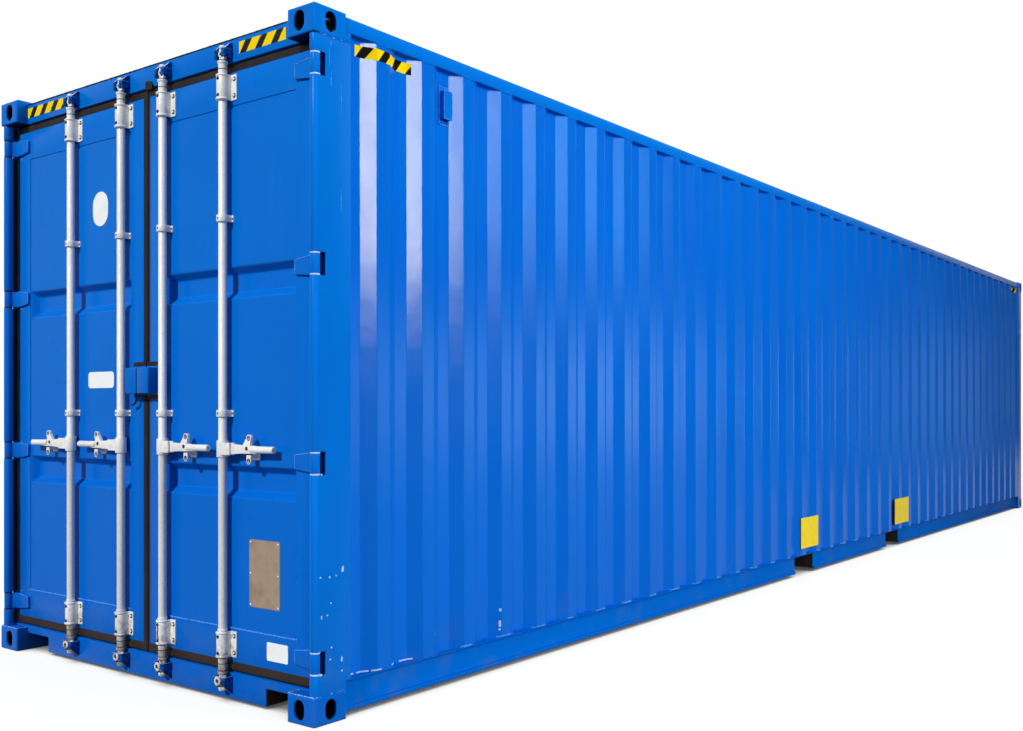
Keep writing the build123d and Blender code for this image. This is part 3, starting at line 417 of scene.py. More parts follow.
def floor_plywood(name):
    """Plywood with its grain along the container."""
    finish, tree, shader = new_finish(name)
    place = place_of(tree)
    grain = pattern(place, 3.0, 8, (1.0, 26.0, 8.0), 0.65)
    colour = tint(window(grain, 0.3, 0.7), PLY_DARK, PLY)
    scuff = window(pattern(place, 4.0, 6, (0.5, 1, 1)), 0.55, 0.75, 0.0, 0.5)
    colour = tint(scuff, colour, linear(80, 66, 54))
    feed(shader, "Base Color", colour)
    feed(shader, "Roughness", window(grain, 0.3, 0.7, 0.75, 0.5))
    relief(shader, grain, 0.0008, 0.6)
    return finish


rubber = gasket_rubber("gasket_rubber_dusty")
plywood = floor_plywood("floor_plywood_worn")
print("dull finishes:", rubber.name, plywood.name)

# %% [markdown]
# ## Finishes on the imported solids
# Each solid keeps its mesh and gets one finish. Modifiers then soften its edges, as pressing,
# folding and paint do on the real box: points that the file keeps twice are joined, the edges that
# bend within a chosen range of angles are marked, those edges are rounded, and the surface is
# shaded smooth up to a limit. Small geometry node groups do the marking and the shading.


# %% Node groups for edges
def edge_group(name, output_kind):
    """An empty node group that can read edge angles and store a value on edges."""
    group = bpy.data.node_groups.new(name, "GeometryNodeTree")
    group.interface.new_socket("Geometry", in_out="INPUT", socket_type="NodeSocketGeometry")
    group.interface.new_socket("Geometry", in_out="OUTPUT", socket_type="NodeSocketGeometry")
    start = group.nodes.new("NodeGroupInput")
    end = group.nodes.new("NodeGroupOutput")
    angle = group.nodes.new("GeometryNodeInputMeshEdgeAngle")
    keep = group.nodes.new("GeometryNodeStoreNamedAttribute")
    keep.data_type = output_kind
    keep.domain = "EDGE"
    return group, start, end, angle.outputs["Unsigned Angle"], keep


def compare(group, value, kind, limit):
    """A comparison of a value with a limit."""
    node = group.nodes.new("FunctionNodeCompare")
    node.operation = kind
    feed(node, 0, value)
    feed(node, 1, limit)
    return node.outputs[0]


def fold_marker(name, least, most):
    """Marks the edges whose bend lies between two angles, in degrees, for the bevel that follows."""
    group, start, end, angle, keep = edge_group(name, "FLOAT")
    both = group.nodes.new("FunctionNodeBooleanMath")
    feed(both, 0, compare(group, angle, "GREATER_THAN", math.radians(least)))
    feed(both, 1, compare(group, angle, "LESS_THAN", math.radians(most)))
    feed(keep, "Name", "bevel_weight_edge")
    feed(keep, "Geometry", start.outputs[0])
    feed(keep, "Value", both.outputs[0])
    feed(end, 0, keep.outputs["Geometry"])
    return group


def smooth_shader(name, limit):
    """Shades faces smooth and keeps an edge crisp where it bends by more than limit degrees."""
    group, start, end, angle, keep = edge_group(name, "BOOLEAN")
    plain = group.nodes.new("GeometryNodeRemoveAttribute")
    feed(plain, "Name", "custom_normal")
    smooth = group.nodes.new("GeometryNodeSetShadeSmooth")
    feed(keep, "Name", "sharp_edge")
    feed(plain, "Geometry", start.outputs[0])
    feed(smooth, "Geometry", plain.outputs["Geometry"])
    feed(keep, "Geometry", smooth.outputs["Geometry"])
    feed(keep, "Value", compare(group, angle, "GREATER_THAN", math.radians(limit)))
    feed(end, 0, keep.outputs["Geometry"])
    return group


mark_folds = fold_marker("mark_pressed_folds", 8, 65)
mark_corners = fold_marker("mark_corners", 28, 170)
shade_soft = smooth_shader("shade_soft", 24)
print("edge groups:", mark_folds.name, mark_corners.name, shade_soft.name)


# %% Finish and edges for each solid
def dress(name, finish, marker, radius, steps):
    """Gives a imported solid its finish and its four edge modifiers."""
    solid = nodes[name]
    solid.data.materials.clear()
    solid.data.materials.append(finish)
    weld = solid.modifiers.new("join_points", "WELD")
    weld.merge_threshold = 0.00005
    mark = solid.modifiers.new("mark_edges", "NODES")
    mark.node_group = marker
    rounding = solid.modifiers.new("round_edges", "BEVEL")
    rounding.limit_method = "WEIGHT"
    rounding.width = radius
    rounding.segments = steps
    rounding.use_clamp_overlap = marker is mark_corners
    shade = solid.modifiers.new("shade", "NODES")
    shade.node_group = shade_soft


PRESSED = {
    "left_side_wall": paint_side,
    "right_side_wall": paint_side,
    "blind_end_wall": paint_end,
    "roof_panel": paint_roof,
    "left_door_panel": paint,
    "right_door_panel": paint,
}
for name, finish in PRESSED.items():
    dress(name, finish, mark_folds, 0.006, 3)
    flats = nodes[name].modifiers.new("keep_flats_flat", "WEIGHTED_NORMAL")
    flats.weight = 100
    flats.keep_sharp = True

# The end of a name, its finish, the radius of its edges and the steps in it. The first row that
# fits counts, and the last row fits all.
ENDINGS = (
    (("_gasket",), rubber, 0.0015, 2),
    (("floor_boards",), plywood, 0.001, 2),
    (("bottom_corner_castings",), paint_casting_low, 0.004, 3),
    (("top_corner_castings",), paint_casting_high, 0.004, 3),
    # The keepers take the navy painted shade.
    (("cam_keepers",), keeper_paint_with_painted_shade, 0.003, 2),
    (("bottom_rail",), paint_rail, 0.002, 2),
    (("door_post",), paint_post, 0.002, 2),
    # Painted shade: the hinge pins and the fork pockets are black, so the gaps and tunnels read dark.
    (("hinge_pins", "fork_pockets"), shade_black_steel, 0.0015, 2),
    (("bar_brackets", "handle_rests", "_bar", "_handle"), zinc, 0.0015, 2),
    (("",), paint, 0.002, 2),
)
for name in nodes:
    if name not in PRESSED:
        finish, radius, steps = next(row[1:] for row in ENDINGS if name.endswith(row[0]))
        dress(name, finish, mark_corners, radius, steps)
print("dressed solids:", len(nodes))

# %% [markdown]
# ## Pieces built in mesh code
# A shape is a list of points and a list of faces, and every added piece is a list of shapes. One
# function joins them into an object, gives it a finish, and ties it to the body that carries it, so
# that it swings with its door. Most shapes are rings of points with a skin of faces along them.


# %% Piece maker
def add_object(name, data):
    """A new object in the scene."""
    thing = bpy.data.objects.new(name, data)
    bpy.context.scene.collection.objects.link(thing)
    return thing


def make_piece(name, shapes, finish, body, smooth=False):
    """Joins shapes into one object with one finish, which moves with a body. smooth shades it smooth."""
    points, faces = join_shapes(shapes)
    mesh = bpy.data.meshes.new(name)
    mesh.from_pydata([tuple(p) for p in points], [], faces)
    mesh.validate()
    mesh.update()
    mesh.materials.append(finish)
    if smooth:
        mesh.shade_smooth()
    piece = add_object(name, mesh)
    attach(piece, body)
    print("piece", name, "faces", len(faces), "on", body)
    return piece


def join_shapes(shapes):
    """Puts several point-and-face lists into one."""
    points, faces = [], []
    for shape_points, shape_faces in shapes:
        base = len(points)
        points.extend(shape_points)
        faces.extend([tuple(i + base for i in face) for face in shape_faces])
    return points, faces


def skin(rows):
    """Faces along a row of equal rings of points, with a cap at each end."""
    count = len(rows[0])
    last = count * (len(rows) - 1)
    points = [Vector(point) for row in rows for point in row]
    faces = [tuple(reversed(range(count)))]
    for a in range(last):
        b = a + 1 if (a + 1) % count else a + 1 - count
        faces.append((a, b, b + count, a + count))
    faces.append(tuple(range(last, last + count)))
    return points, faces


def block(xs, ys, zs):
    """A plain block between two places on each axis."""
    (x0, x1), (y0, y1) = sorted(xs), sorted(ys)
    return skin([[(x0, y0, z), (x1, y0, z), (x1, y1, z), (x0, y1, z)] for z in sorted(zs)])


# %% [markdown]
# ## Bolts on the bar brackets
# Each long saddle is held by four bolts and each short clip by two rivets, through the door. The
# real heads are shallow domes on a flat washer. A turned outline swept round an axis gives both,
# and all heads of one door are one piece. Black discs under the heads are painted shadow, and the
# black dots on the saddles and clips are painted shade in their holes.


# %% Turned heads
def turned(centre, axis, outline, sides=14):
    """Sweeps an outline of (radius, height) pairs round an axis that starts at centre."""
    axis = Vector(axis).normalized()
    across = axis.orthogonal().normalized()
    beside = axis.cross(across)
    rows = []
    for radius, height in outline:
        row = []
        for k in range(sides):
            turn = 2 * math.pi * k / sides
            offset = across * (radius * math.cos(turn)) + beside * (radius * math.sin(turn))
            row.append(Vector(centre) + offset + axis * height)
        rows.append(row)
    return skin(rows)


def ring(centre, axis, inner, outer, thick, sides=24):
    """A flat ring round an axis that starts at centre."""
    outline = [(inner, 0.0), (outer, 0.0), (outer, thick), (inner, thick)]
    points, faces = turned(centre, axis, outline, sides)
    faces = faces[1:-1]
    for k in range(sides):
        after = (k + 1) % sides
        faces.append((3 * sides + k, 3 * sides + after, after, k))
    return points, faces


BOLT = [(0.0052, 0.0), (0.0052, 0.0030), (0.0042, 0.0042), (0.0020, 0.0047)]
SOCKET = [(0.0105, 0.0), (0.0105, 0.0004), (0.0090, 0.0006)]
SCREW = [(0.0080, -0.002), (0.0080, 0.0003), (0.0060, 0.0006)]
DOT = [(0.0044, -0.001), (0.0044, 0.0005), (0.0020, 0.0006)]
RIVET = [(0.0045, 0.0), (0.0043, 0.0012), (0.0030, 0.0022), (0.0010, 0.0026)]
BAR_AXIS = DOOR_END + 0.036
SADDLE_RADIUS = 0.027
SADDLE_HALF_HEIGHT = 0.056


def bar_ring(y, z0, z1, inner, outer, steps=20):
    """A half ring round the outer side of a locking bar, with its edges eased."""
    ease = 0.25 * (z1 - z0)
    section = [(inner, z0), (outer - ease, z0), (outer, z0 + ease)]
    section += [(outer, z1 - ease), (outer - ease, z1), (inner, z1)]
    rows = []
    for k in range(steps, -1, -1):
        turn = math.radians(80 + 200 * k / steps)
        along, beside = math.cos(turn), math.sin(turn)
        rows.append([(BAR_AXIS + radius * along, y + radius * beside, z) for radius, z in section])
    return skin(rows)


for side, sign in SIDES:
    heads, sockets, rings = [], [], []
    for bar in BAR_PLACES:
        y = sign * bar
        for z in SADDLE_HEIGHTS:
            for up in (-0.036, 0.036):
                # Painted shade: black discs under the bolts and black dots for the holes.
                sockets.append(turned((BAR_AXIS - SADDLE_RADIUS, y, z + up), OUT, SCREW))
                for across in (-0.047, 0.047):
                    spot = (DOOR_END + 0.060, y + across, z + up)
                    sockets.append(turned(spot, OUT, SOCKET))
                    heads.append(turned(spot, OUT, BOLT))
            for end in (-1, 1):
                edge = z + end * SADDLE_HALF_HEIGHT
                low, high = sorted((edge, edge - end * 0.010))
                rings.append(bar_ring(y, low, high, SADDLE_RADIUS - 0.001, SADDLE_RADIUS + 0.003))
        for z in CLIP_HEIGHTS:
            sockets.append(turned((BAR_AXIS - SADDLE_RADIUS, y, z), OUT, DOT))
            for across in (-0.0315, 0.0315):
                sockets.append(turned((DOOR_END + 0.063, y + across, z), OUT, DOT))
    door = side + "_door"
    make_piece(door + "_bracket_bolts", heads, zinc, door, True)
    make_piece(door + "_bracket_sockets", sockets, shade_black_steel, door)
    make_piece(door + "_saddle_rims", rings, zinc, door, True)

# %% [markdown]
# ## Eyes of the handles
# Each handle has an ear with an eye for a seal, over a second eye on its rest. A dark rim round
# both is painted shade for the hole, and a black rivet holds the ear. The upper rims and rivets lift with
# their handle.

# %% Eye rims and ear rivets
HANDLE_FACE = DOOR_END + 0.022
RIM = (0.0075, 0.0108, 0.0006)
EAR_RIVET = [(0.0085, 0.0), (0.0085, 0.0012), (0.0060, 0.0020)]
for side, sign in SIDES:
    rests = []
    for place, bar in zip(("inner", "outer"), BAR_PLACES):
        ear = sign * (bar + 0.189)
        rim = ring((HANDLE_FACE, ear, 1.148), OUT, *RIM)
        rivet = turned((HANDLE_FACE, sign * (bar + 0.176), 1.104), OUT, EAR_RIVET)
        body = side + "_" + place + "_handle"
        make_piece(body + "_eye_rim", [rim, rivet], shade_black_steel, body)
        rests.append(ring((HANDLE_FACE, sign * (bar + 0.190), 1.052), OUT, *RIM))
    door = side + "_door"
    make_piece(door + "_rest_eye_rims", rests, shade_black_steel, door)

# %% [markdown]
# ## Ends of the locking bars
# Below its saddle a bar wears a turned sleeve, and each cam has an eye on its front and a rounded
# end. They turn with the bar. The hooked keepers get a gusset on each cheek, down to the sill or up
# to the header, which stays with the box.

# %% Sleeves, cam eyes and gussets
LOW_SLEEVE = [(0.0150, 0.1225), (0.0205, 0.1230), (0.0215, 0.1290), (0.0205, 0.1350), (0.0175, 0.1360)]
LOW_SLEEVE += [(0.0175, 0.1385), (0.0195, 0.1395), (0.0195, 0.1650), (0.0178, 0.1660), (0.0178, 0.1680)]
LOW_SLEEVE += [(0.0200, 0.1690), (0.0200, 0.1925), (0.0150, 0.1930)]
HIGH_SLEEVE = [(0.0150, 2.7250), (0.0195, 2.7255), (0.0195, 2.7450), (0.0178, 2.7460), (0.0178, 2.7480)]
HIGH_SLEEVE += [(0.0195, 2.7490), (0.0195, 2.7680), (0.0228, 2.7740), (0.0228, 2.7810), (0.0150, 2.7850)]
COLLAR = [(0.0185, 0.3085), (0.0218, 0.3090), (0.0218, 0.3170), (0.0185, 0.3180)]
LOW_END = [(0.0040, 0.0455), (0.0120, 0.0470), (0.0180, 0.0520)]
LOW_END += [(0.0190, 0.0600), (0.0170, 0.0660), (0.0105, 0.0668)]
HIGH_END = [(0.0105, 2.8372), (0.0150, 2.8380), (0.0165, 2.8430), (0.0140, 2.8490), (0.0040, 2.8515)]
EYE = [(0.0160, 0.0), (0.0160, 0.0035), (0.0145, 0.0055), (0.0080, 0.0055), (0.0070, 0.0035)]
EYE_HOLE = [(0.0070, 0.0), (0.0070, 0.0006), (0.0040, 0.0008)]
# Painted shade: black bands in the grooves of the sleeves, and black dots in the cam eyes.
GROOVE_SHADE_BANDS = ((0.1358, 0.1388), (0.1656, 0.1684), (0.1920, 0.1936))
GROOVE_SHADE_BANDS += ((2.7452, 2.7484), (2.7850, 2.7868))
CAM_HEIGHTS = (0.092, 2.812)


def gusset(y, z_flat, z_tip):
    """A triangular cheek plate that tapers from a keeper towards the frame behind it."""
    corners = ((0.016, z_flat), (0.0625, z_flat), (0.0625, z_tip), (0.050, z_tip))
    rows = []
    for across in (y - 0.0045, y + 0.0045):
        rows.append([(DOOR_END + inset, across, z) for inset, z in corners])
    return skin(rows)


shapes = []
for side, sign in SIDES:
    for place, bar in zip(("inner", "outer"), BAR_PLACES):
        y = sign * bar
        body = side + "_" + place + "_bar"
        foot = (BAR_AXIS, y, 0.0)
        outlines = (LOW_SLEEVE, HIGH_SLEEVE, COLLAR, LOW_END, HIGH_END)
        metal = [turned(foot, UP, outline, 20) for outline in outlines]
        holes = []
        for low, high in GROOVE_SHADE_BANDS:
            band = [(0.0150, low), (0.0194, low), (0.0194, high), (0.0150, high)]
            holes.append(turned(foot, UP, band, 20))
        for z in CAM_HEIGHTS:
            metal.append(turned((BAR_AXIS - 0.0075, y, z), OUT, EYE, 20))
            holes.append(turned((BAR_AXIS - 0.0110, y, z), OUT, EYE_HOLE))
        make_piece(body + "_sleeves", metal, zinc, body)
        make_piece(body + "_groove_shade_rings", holes, shade_black_steel, body)
        for cheek in (-0.0315, 0.0315):
            shapes.append(gusset(y + cheek, 0.0745, 0.040))
            shapes.append(gusset(y + cheek, 2.8295, 2.862))
# The gussets share the keepers' painted shade.
make_piece("cam_keeper_gussets", shapes, keeper_paint_with_painted_shade, "box")

BOSS = [(0.0205, 0.0), (0.0205, 0.0036), (0.0182, 0.0060), (0.0105, 0.0060), (0.0090, 0.0036)]
BOSS_HOLE = [(0.0088, 0.0), (0.0088, 0.0004), (0.0040, 0.0006)]
bosses, holes = [], []
for y in KEEPER_PLACES:
    spot = (DOOR_END + 0.0122, y + 0.003, 0.094)
    bosses.append(turned(spot, OUT, BOSS, 20))
    # Painted shade: a black dot in the hole of each boss.
    holes.append(turned((spot[0] - 0.0037, spot[1], spot[2]), OUT, BOSS_HOLE, 20))
make_piece("lower_keeper_bosses", bosses, zinc, "box")
make_piece("lower_keeper_boss_holes", holes, shade_black_steel, "box")

# %% [markdown]
# ## Weld beads
# The walls meet the rails in long welds that follow every fold, and the posts are welded to the
# castings. A bead is a thin tube along a path, whose thickness swells a little every few
# millimetres, the way a weld pool leaves ripples.


# %% Weld beads
def bead(path, radius, outward, step=0.011, sides=6, seed=0.0):
    """A rippled tube along a path of points. outward leans the ring away from the plates."""
    spots = []
    for a, b in zip(path, path[1:]):
        a, b = Vector(a), Vector(b)
        count = max(1, int((b - a).length / step))
        for k in range(count):
            spots.append((a.lerp(b, k / count), (b - a).normalized()))
    spots.append((Vector(path[-1]), (Vector(path[-1]) - Vector(path[-2])).normalized()))
    rows = []
    for n, (spot, way) in enumerate(spots):
        lean = Vector(outward)
        lean = (lean - way * lean.dot(way)).normalized()
        beside = way.cross(lean)
        swell = 1.0 + 0.22 * (n % 2) + 0.25 * noise.noise(spot * 30.0 + Vector((seed, 0, 0)))
        row = []
        for k in range(sides):
            turn = 2 * math.pi * k / sides
            arm = lean * math.cos(turn) + beside * math.sin(turn)
            row.append(spot + arm * radius * swell)
        rows.append(row)
    return skin(rows)


for side, sign in SIDES:
    folds = wall_folds(WALL_START + 0.002, -WALL_START - 0.002)
    shapes = []
    for z, lean in ((BASE_RAIL_TOP, 0.7), (TOP_RAIL_LOW, -0.7)):
        path = [(x, sign * (SIDE - wall_inset(x) + 0.0002), z + 0.0015 * lean) for x in folds]
        shapes.append(bead(path, 0.0028, (0, sign, lean), seed=sign))
    make_piece(side + "_wall_weld_beads", shapes, paint, "box", True)

for side, sign in SIDES:
    edge = []
    for y, z in ((0.126, 0.321), (1.041, 0.321), (1.041, 2.593), (0.126, 2.593), (0.126, 0.321)):
        edge.append((PANEL_FACE - 0.0008, sign * y, z))
    door = side + "_door"
    seam = [bead(edge, 0.0026, OUT)]
    make_piece(door + "_panel_weld_beads", seam, paint, door, True)
    # Painted highlight: a light line along the lower edge of the panel, and light rims on the hinge blades.
    light = [(PANEL_FACE - 0.0020, sign * y, 0.319) for y in (0.124, 1.043)]
    shapes = [bead(light, 0.0034, OUT)]
    for z in HINGE_HEIGHTS:
        rim = []
        for y, rise in ((1.135, 0.040), (1.043, 0.029), (1.043, -0.029)):
            rim.append((LEAF_FACE - 0.0115, sign * y, z + rise))
        shapes.append(bead(rim, 0.0022, OUT))
    make_piece(door + "_rubbed_edges", shapes, rubbed_and_highlight_paint, door, True)

# Painted highlight: light rims along the top edges of the keeper jaws.
shapes = []
for y in KEEPER_PLACES:
    for z in (0.1102, 2.8302):
        for turn in (-1, 1):
            rim = []
            for inset, out in ((0.0125, 0.0175), (0.0125, 0.0300), (0.0185, 0.0355), (0.0560, 0.0355)):
                rim.append((DOOR_END + inset, y + turn * out, z))
            shapes.append(bead(rim, 0.0018, UP, 0.005))
make_piece("cam_keeper_painted_highlight_rims", shapes, rubbed_and_highlight_paint, "box", True)

# Painted highlight: light rims round the ventilator flanges.
shapes = []
for sign in (-1, 1):
    for x in VENT_PLACES:
        for half_w, half_h, inset in ((0.0345, 0.0865, 0.0358), (0.0285, 0.0645, 0.0102)):
            rim = []
            for across, up in ((-1, -1), (1, -1), (1, 1), (-1, 1), (-1, -1)):
                rim.append((x + across * half_w, sign * (SIDE - inset), VENT_HEIGHT + up * half_h))
            shapes.append(bead(rim, 0.0016, (0, sign, 0), 0.008))
make_piece("ventilator_painted_highlight_rims", shapes, rubbed_and_highlight_paint, "box", True)

# The beads on the castings carry pale spots that are partly wear and partly painted highlight.
shapes = []
for sign in (-1, 1):
    for z in (0.1185, 2.7775):
        path = [(DOOR_END + 0.035, sign * (SIDE - SKIN), z), (DOOR_END + 0.176, sign * (SIDE - SKIN), z)]
        shapes.append(bead(path, 0.0025, (0, sign, 0), 0.009))
make_piece("casting_weld_beads", shapes, worn_and_highlight_paint, "box", True)

# Painted highlight: a pale line along the top edges of the low castings.
shapes = []
for sign in (-1, 1):
    rim = []
    for inset, y in ((0.150, 1.061), (0.0045, 1.061), (0.0045, 1.2135), (0.030, 1.2145)):
        rim.append((DOOR_END + inset, sign * y, 0.1186))
    shapes.append(bead(rim, 0.0021, UP, 0.009))
make_piece("low_casting_painted_highlight_rims", shapes, pale_highlight_paint, "box", True)

# %% [markdown]
# ## Washers, cheeks and jamb strips
# Three small fills between the large pieces. A washer sits on the pin above and below every hinge
# blade, a cheek closes the hollow sill at each notch, and a rubber strip on the post covers the gap
# beside the door. The strips stop short of the hinges, and leave the gasket room to swing past.

# %% Hinge washers, sill cheeks and jamb strips
# Painted shade and painted highlight: black washers on the left post darken the gaps at the hinge blades,
# pale ones on the right post light their rims.
for side, sign, finish in (("left", 1, shade_black_steel), ("right", -1, primer_and_highlight_paint)):
    shapes = []
    for z in HINGE_HEIGHTS:
        for low in (z - 0.0466, z + 0.0406):
            spot = (HINGE_AXIS[0], sign * HINGE_AXIS[1], low)
            shapes.append(ring(spot, UP, 0.0135, 0.0205, 0.0060))
    make_piece(side + "_hinge_washers", shapes, finish, "box")

# Painted shade: the cheeks are black, as the inside of the notch lies in shade.
shapes = []
for sign in (-1, 1):
    across = (sign * 0.8505, sign * 0.8545)
    shapes.append(block((DOOR_END + 0.0685, DOOR_END + 0.205), across, (0.0145, 0.0895)))
make_piece("door_sill_cheeks", shapes, shade_black_steel, "box")

# The black rubber strips also stand for the shade in the gap beside the door: painted shade.
JAMB_SPANS = ((0.130, 0.200), (0.302, 1.002), (1.104, 1.805), (1.907, 2.607), (2.709, 2.770))
shapes = []
for sign in (-1, 1):
    for span in JAMB_SPANS:
        across = (sign * 1.1712, sign * 1.1685)
        shapes.append(block((DOOR_END + 0.042, DOOR_END + 0.066), across, span))
make_piece("door_jamb_strips", shapes, rubber, "box")

# %% [markdown]
# ## Header shade line and seal flare
# A thin black bead along the top of the header is painted shade, and the gasket of the right door flares
# out where the two doors meet at the top. The flare is one outline with a front and a back.

# %% Header shade line and gasket flare
top_edge = [(HEADER_FACE, -1.055, 2.8790), (HEADER_FACE, 1.055, 2.8790)]
header_shade_line = [bead(top_edge, 0.0028, OUT, 0.02)]
make_piece("header_top_shade_line", header_shade_line, shade_black_steel, "box", True)

FLARE = ((-0.006, 2.766), (-0.006, 2.800), (-0.014, 2.808))
FLARE += ((-0.046, 2.802), (-0.058, 2.786), (-0.060, 2.766))
rows = [[(x, y, z) for y, z in FLARE] for x in (DOOR_END + 0.053, DOOR_END + 0.060)]
make_piece("right_door_seal_flare", [skin(rows)], rubber, "right_door")

# %% [markdown]
# ## Hazard tape
# Yellow and black striped tape marks the four upper corners. It is a thin film: on the header it
# lies flat, and on the wall it follows the folds of the sheet. The stripes come from the shader,
# as slanted bands of the object coordinates, with scuffs where the black has worn.

# %% Hazard tape finish
TAPE_YELLOW = linear(250, 216, 8)
TAPE_BLACK = linear(16, 14, 12)


def striped_tape(name, axis, lean, width, start):
    """Bands along an axis. lean slants them, width is a yellow and a black band."""
    finish, tree, shader = new_finish(name)
    place = place_of(tree)
    along = maths("DIVIDE", axis_of(place, axis), width)
    rise = maths("MULTIPLY", axis_of(place, "Z"), lean / width)
    slant = maths("ADD", maths("ADD", along, rise), start)
    band = maths("FRACT", slant, 0.0)
    dark = maths("LESS_THAN", band, 0.44)
    wear = window(pattern(place, 26.0, 6), 0.62, 0.80, 1.0, 0.75)
    colour = tint(maths("MULTIPLY", dark, wear), TAPE_YELLOW, TAPE_BLACK)
    feed(shader, "Base Color", colour)
    feed(shader, "Roughness", window(pattern(place, 40.0), 0.3, 0.7, 0.4, 0.6))
    feed(shader, "Specular IOR Level", 0.1)
    relief(shader, pattern(place, 70.0, 3), 0.0002, 0.5)
    return finish


tape_across = striped_tape("hazard_tape_across", "Y", 0.75, 0.1013, 0.3815)
tape_along = striped_tape("hazard_tape_along", "X", -0.75, 0.101, 0.1435)
print("tapes:", tape_across.name, tape_along.name)


# %% Hazard tapes
def film(front, back):
    """A thin film between two rows of points, each row listed low then high along its length."""
    points = list(front) + list(back)
    half = len(front)
    faces = []
    for k in range(0, half - 2, 2):
        faces.append((k, k + 2, k + 3, k + 1))
        faces.append((half + k, half + k + 1, half + k + 3, half + k + 2))
        faces.append((k, half + k, half + k + 2, k + 2))
        faces.append((k + 1, k + 3, half + k + 3, half + k + 1))
    faces.append((0, 1, half + 1, half))
    faces.append((half - 2, 2 * half - 2, 2 * half - 1, half - 1))
    return points, faces


def layered(depths, places):
    """A film between two depths. places gives the row of points at a depth."""
    return film(*([Vector(point) for point in places(depth)] for depth in depths))


def flat_film(x, y0, y1, z0, z1, thick):
    """A film on a flat face that looks to negative X."""
    return layered((thick, 0.0), lambda depth: [(x - depth, y, z) for y in (y0, y1) for z in (z0, z1)])


def wall_film(sign, x0, x1, z0, z1, thick):
    """A film that lies on the folds of a side wall."""

    def places(depth):
        row = []
        for x in wall_folds(x0, x1):
            y = sign * (SIDE - wall_inset(x) + depth)
            row += [(x, y, z0), (x, y, z1)]
        return row

    return layered((thick, 0.0), places)


shapes = [
    flat_film(HEADER_FACE, 0.705, 1.055, 2.808, 2.859, 0.0006),
    flat_film(HEADER_FACE, -0.980, -0.678, 2.808, 2.859, 0.0006),
]
make_piece("header_hazard_tapes", shapes, tape_across, "box")

shapes = []
for sign in (-1, 1):
    shapes.append(wall_film(sign, -5.834, -5.497, 2.750, 2.800, 0.0006))
    shapes.append(wall_film(sign, 5.497, 5.834, 2.750, 2.800, 0.0006))
make_piece("wall_hazard_tapes", shapes, tape_along, "box")

# %% [markdown]
# ## Blank plates and stickers
# The left door carries a small oval sticker and a rounded label, the right door a riveted metal
# plate and a white label, and yellow plates mark the fork pockets. All are left blank. Those on the
# doors are thin outlines with rounded corners, raised by their own thickness.


# %% Sticker and plate finishes
def film_finish(name, colour, stain, rough, amount=0.35, metal=0.0):
    """A plain colour with cloudy stains."""
    finish, tree, shader = new_finish(name)
    place = place_of(tree)
    cloud = window(pattern(place, 14.0, 6), 0.45, 0.75, 0.0, amount)
    feed(shader, "Base Color", tint(cloud, colour, stain))
    feed(shader, "Roughness", window(cloud, 0.0, amount, rough, rough + 0.2))
    feed(shader, "Metallic", metal)
    feed(shader, "Specular IOR Level", 0.15)
    relief(shader, pattern(place, 90.0, 3), 0.0002, 0.5)
    return finish


white_vinyl = film_finish("white_vinyl_film", linear(246, 250, 250), linear(214, 220, 226), 0.35)
yellow_vinyl = film_finish("yellow_vinyl_film", linear(252, 222, 8), linear(232, 196, 12), 0.4)
rust_film = film_finish("rust_streak_film", linear(92, 58, 40), linear(48, 32, 26), 0.8, 0.8)
PLATE_TONES = (linear(160, 142, 120), linear(118, 100, 82))
plate_metal = film_finish("riveted_plate_metal", *PLATE_TONES, 0.45, 0.6, 0.3)
print("film finishes ready")


# %% Blank plates and stickers
def rounded_plate(x, y0, y1, z0, z1, corner, thick):
    """A plate on a face that looks to negative X, its corners rounded, its rim eased."""
    outline = []
    middles = ((y1, z1, 0), (y0, z1, 90), (y0, z0, 180), (y1, z0, 270))
    for y, z, turn in middles:
        cy = y - corner if y == y1 else y + corner
        cz = z - corner if z == z1 else z + corner
        for k in range(7):
            angle = math.radians(turn + 15 * k)
            outline.append((cy + corner * math.cos(angle), cz + corner * math.sin(angle)))
    my, mz = (y0 + y1) / 2, (z0 + z1) / 2
    rows = []
    for depth, ease in ((thick, 0.6 * thick), (0.6 * thick, 0.0), (0.0, 0.0)):
        row = []
        for y, z in outline:
            pull = Vector((my - y, mz - z)).normalized() * ease
            row.append((x - depth, y + pull.x, z + pull.y))
        rows.append(row)
    return skin(rows)


STICKER = 0.0008
PLATE = 0.0018
stickers = [
    rounded_plate(PANEL_FACE, 0.325, 0.455, 2.172, 2.342, 0.064, STICKER),
    rounded_plate(PANEL_FACE, 0.275, 0.495, 1.375, 1.455, 0.018, STICKER),
]
make_piece("left_door_blank_stickers", stickers, white_vinyl, "left_door")

label = [rounded_plate(LEAF_FACE, -0.988, -0.855, 0.210, 0.288, 0.006, STICKER)]
make_piece("right_door_blank_label", label, white_vinyl, "right_door")

plate = [rounded_plate(PANEL_FACE, -0.935, -0.739, 0.425, 0.714, 0.008, PLATE)]
make_piece("right_door_blank_plate", plate, plate_metal, "right_door")
rivets = []
for y in (-0.925, -0.749):
    for z in (0.436, 0.5695, 0.703):
        rivets.append(turned((PANEL_FACE - PLATE, y, z), OUT, RIVET))
make_piece("right_door_plate_rivets", rivets, zinc, "right_door", True)


def fork_plate(sign, x0, x1, z0, z1):
    """A stiff plate that lies on the crests of a side wall."""

    def places(inset):
        return [(x, sign * (SIDE - inset), z) for x in (x0, x1) for z in (z0, z1)]

    return layered((0.0018, 0.0038), places)


shapes = []
for sign in (-1, 1):
    shapes.append(fork_plate(sign, -1.160, -0.820, 0.207, 0.440))
    shapes.append(fork_plate(sign, 1.045, 1.440, 0.207, 0.440))
make_piece("fork_pocket_blank_plates", shapes, yellow_vinyl, "box")

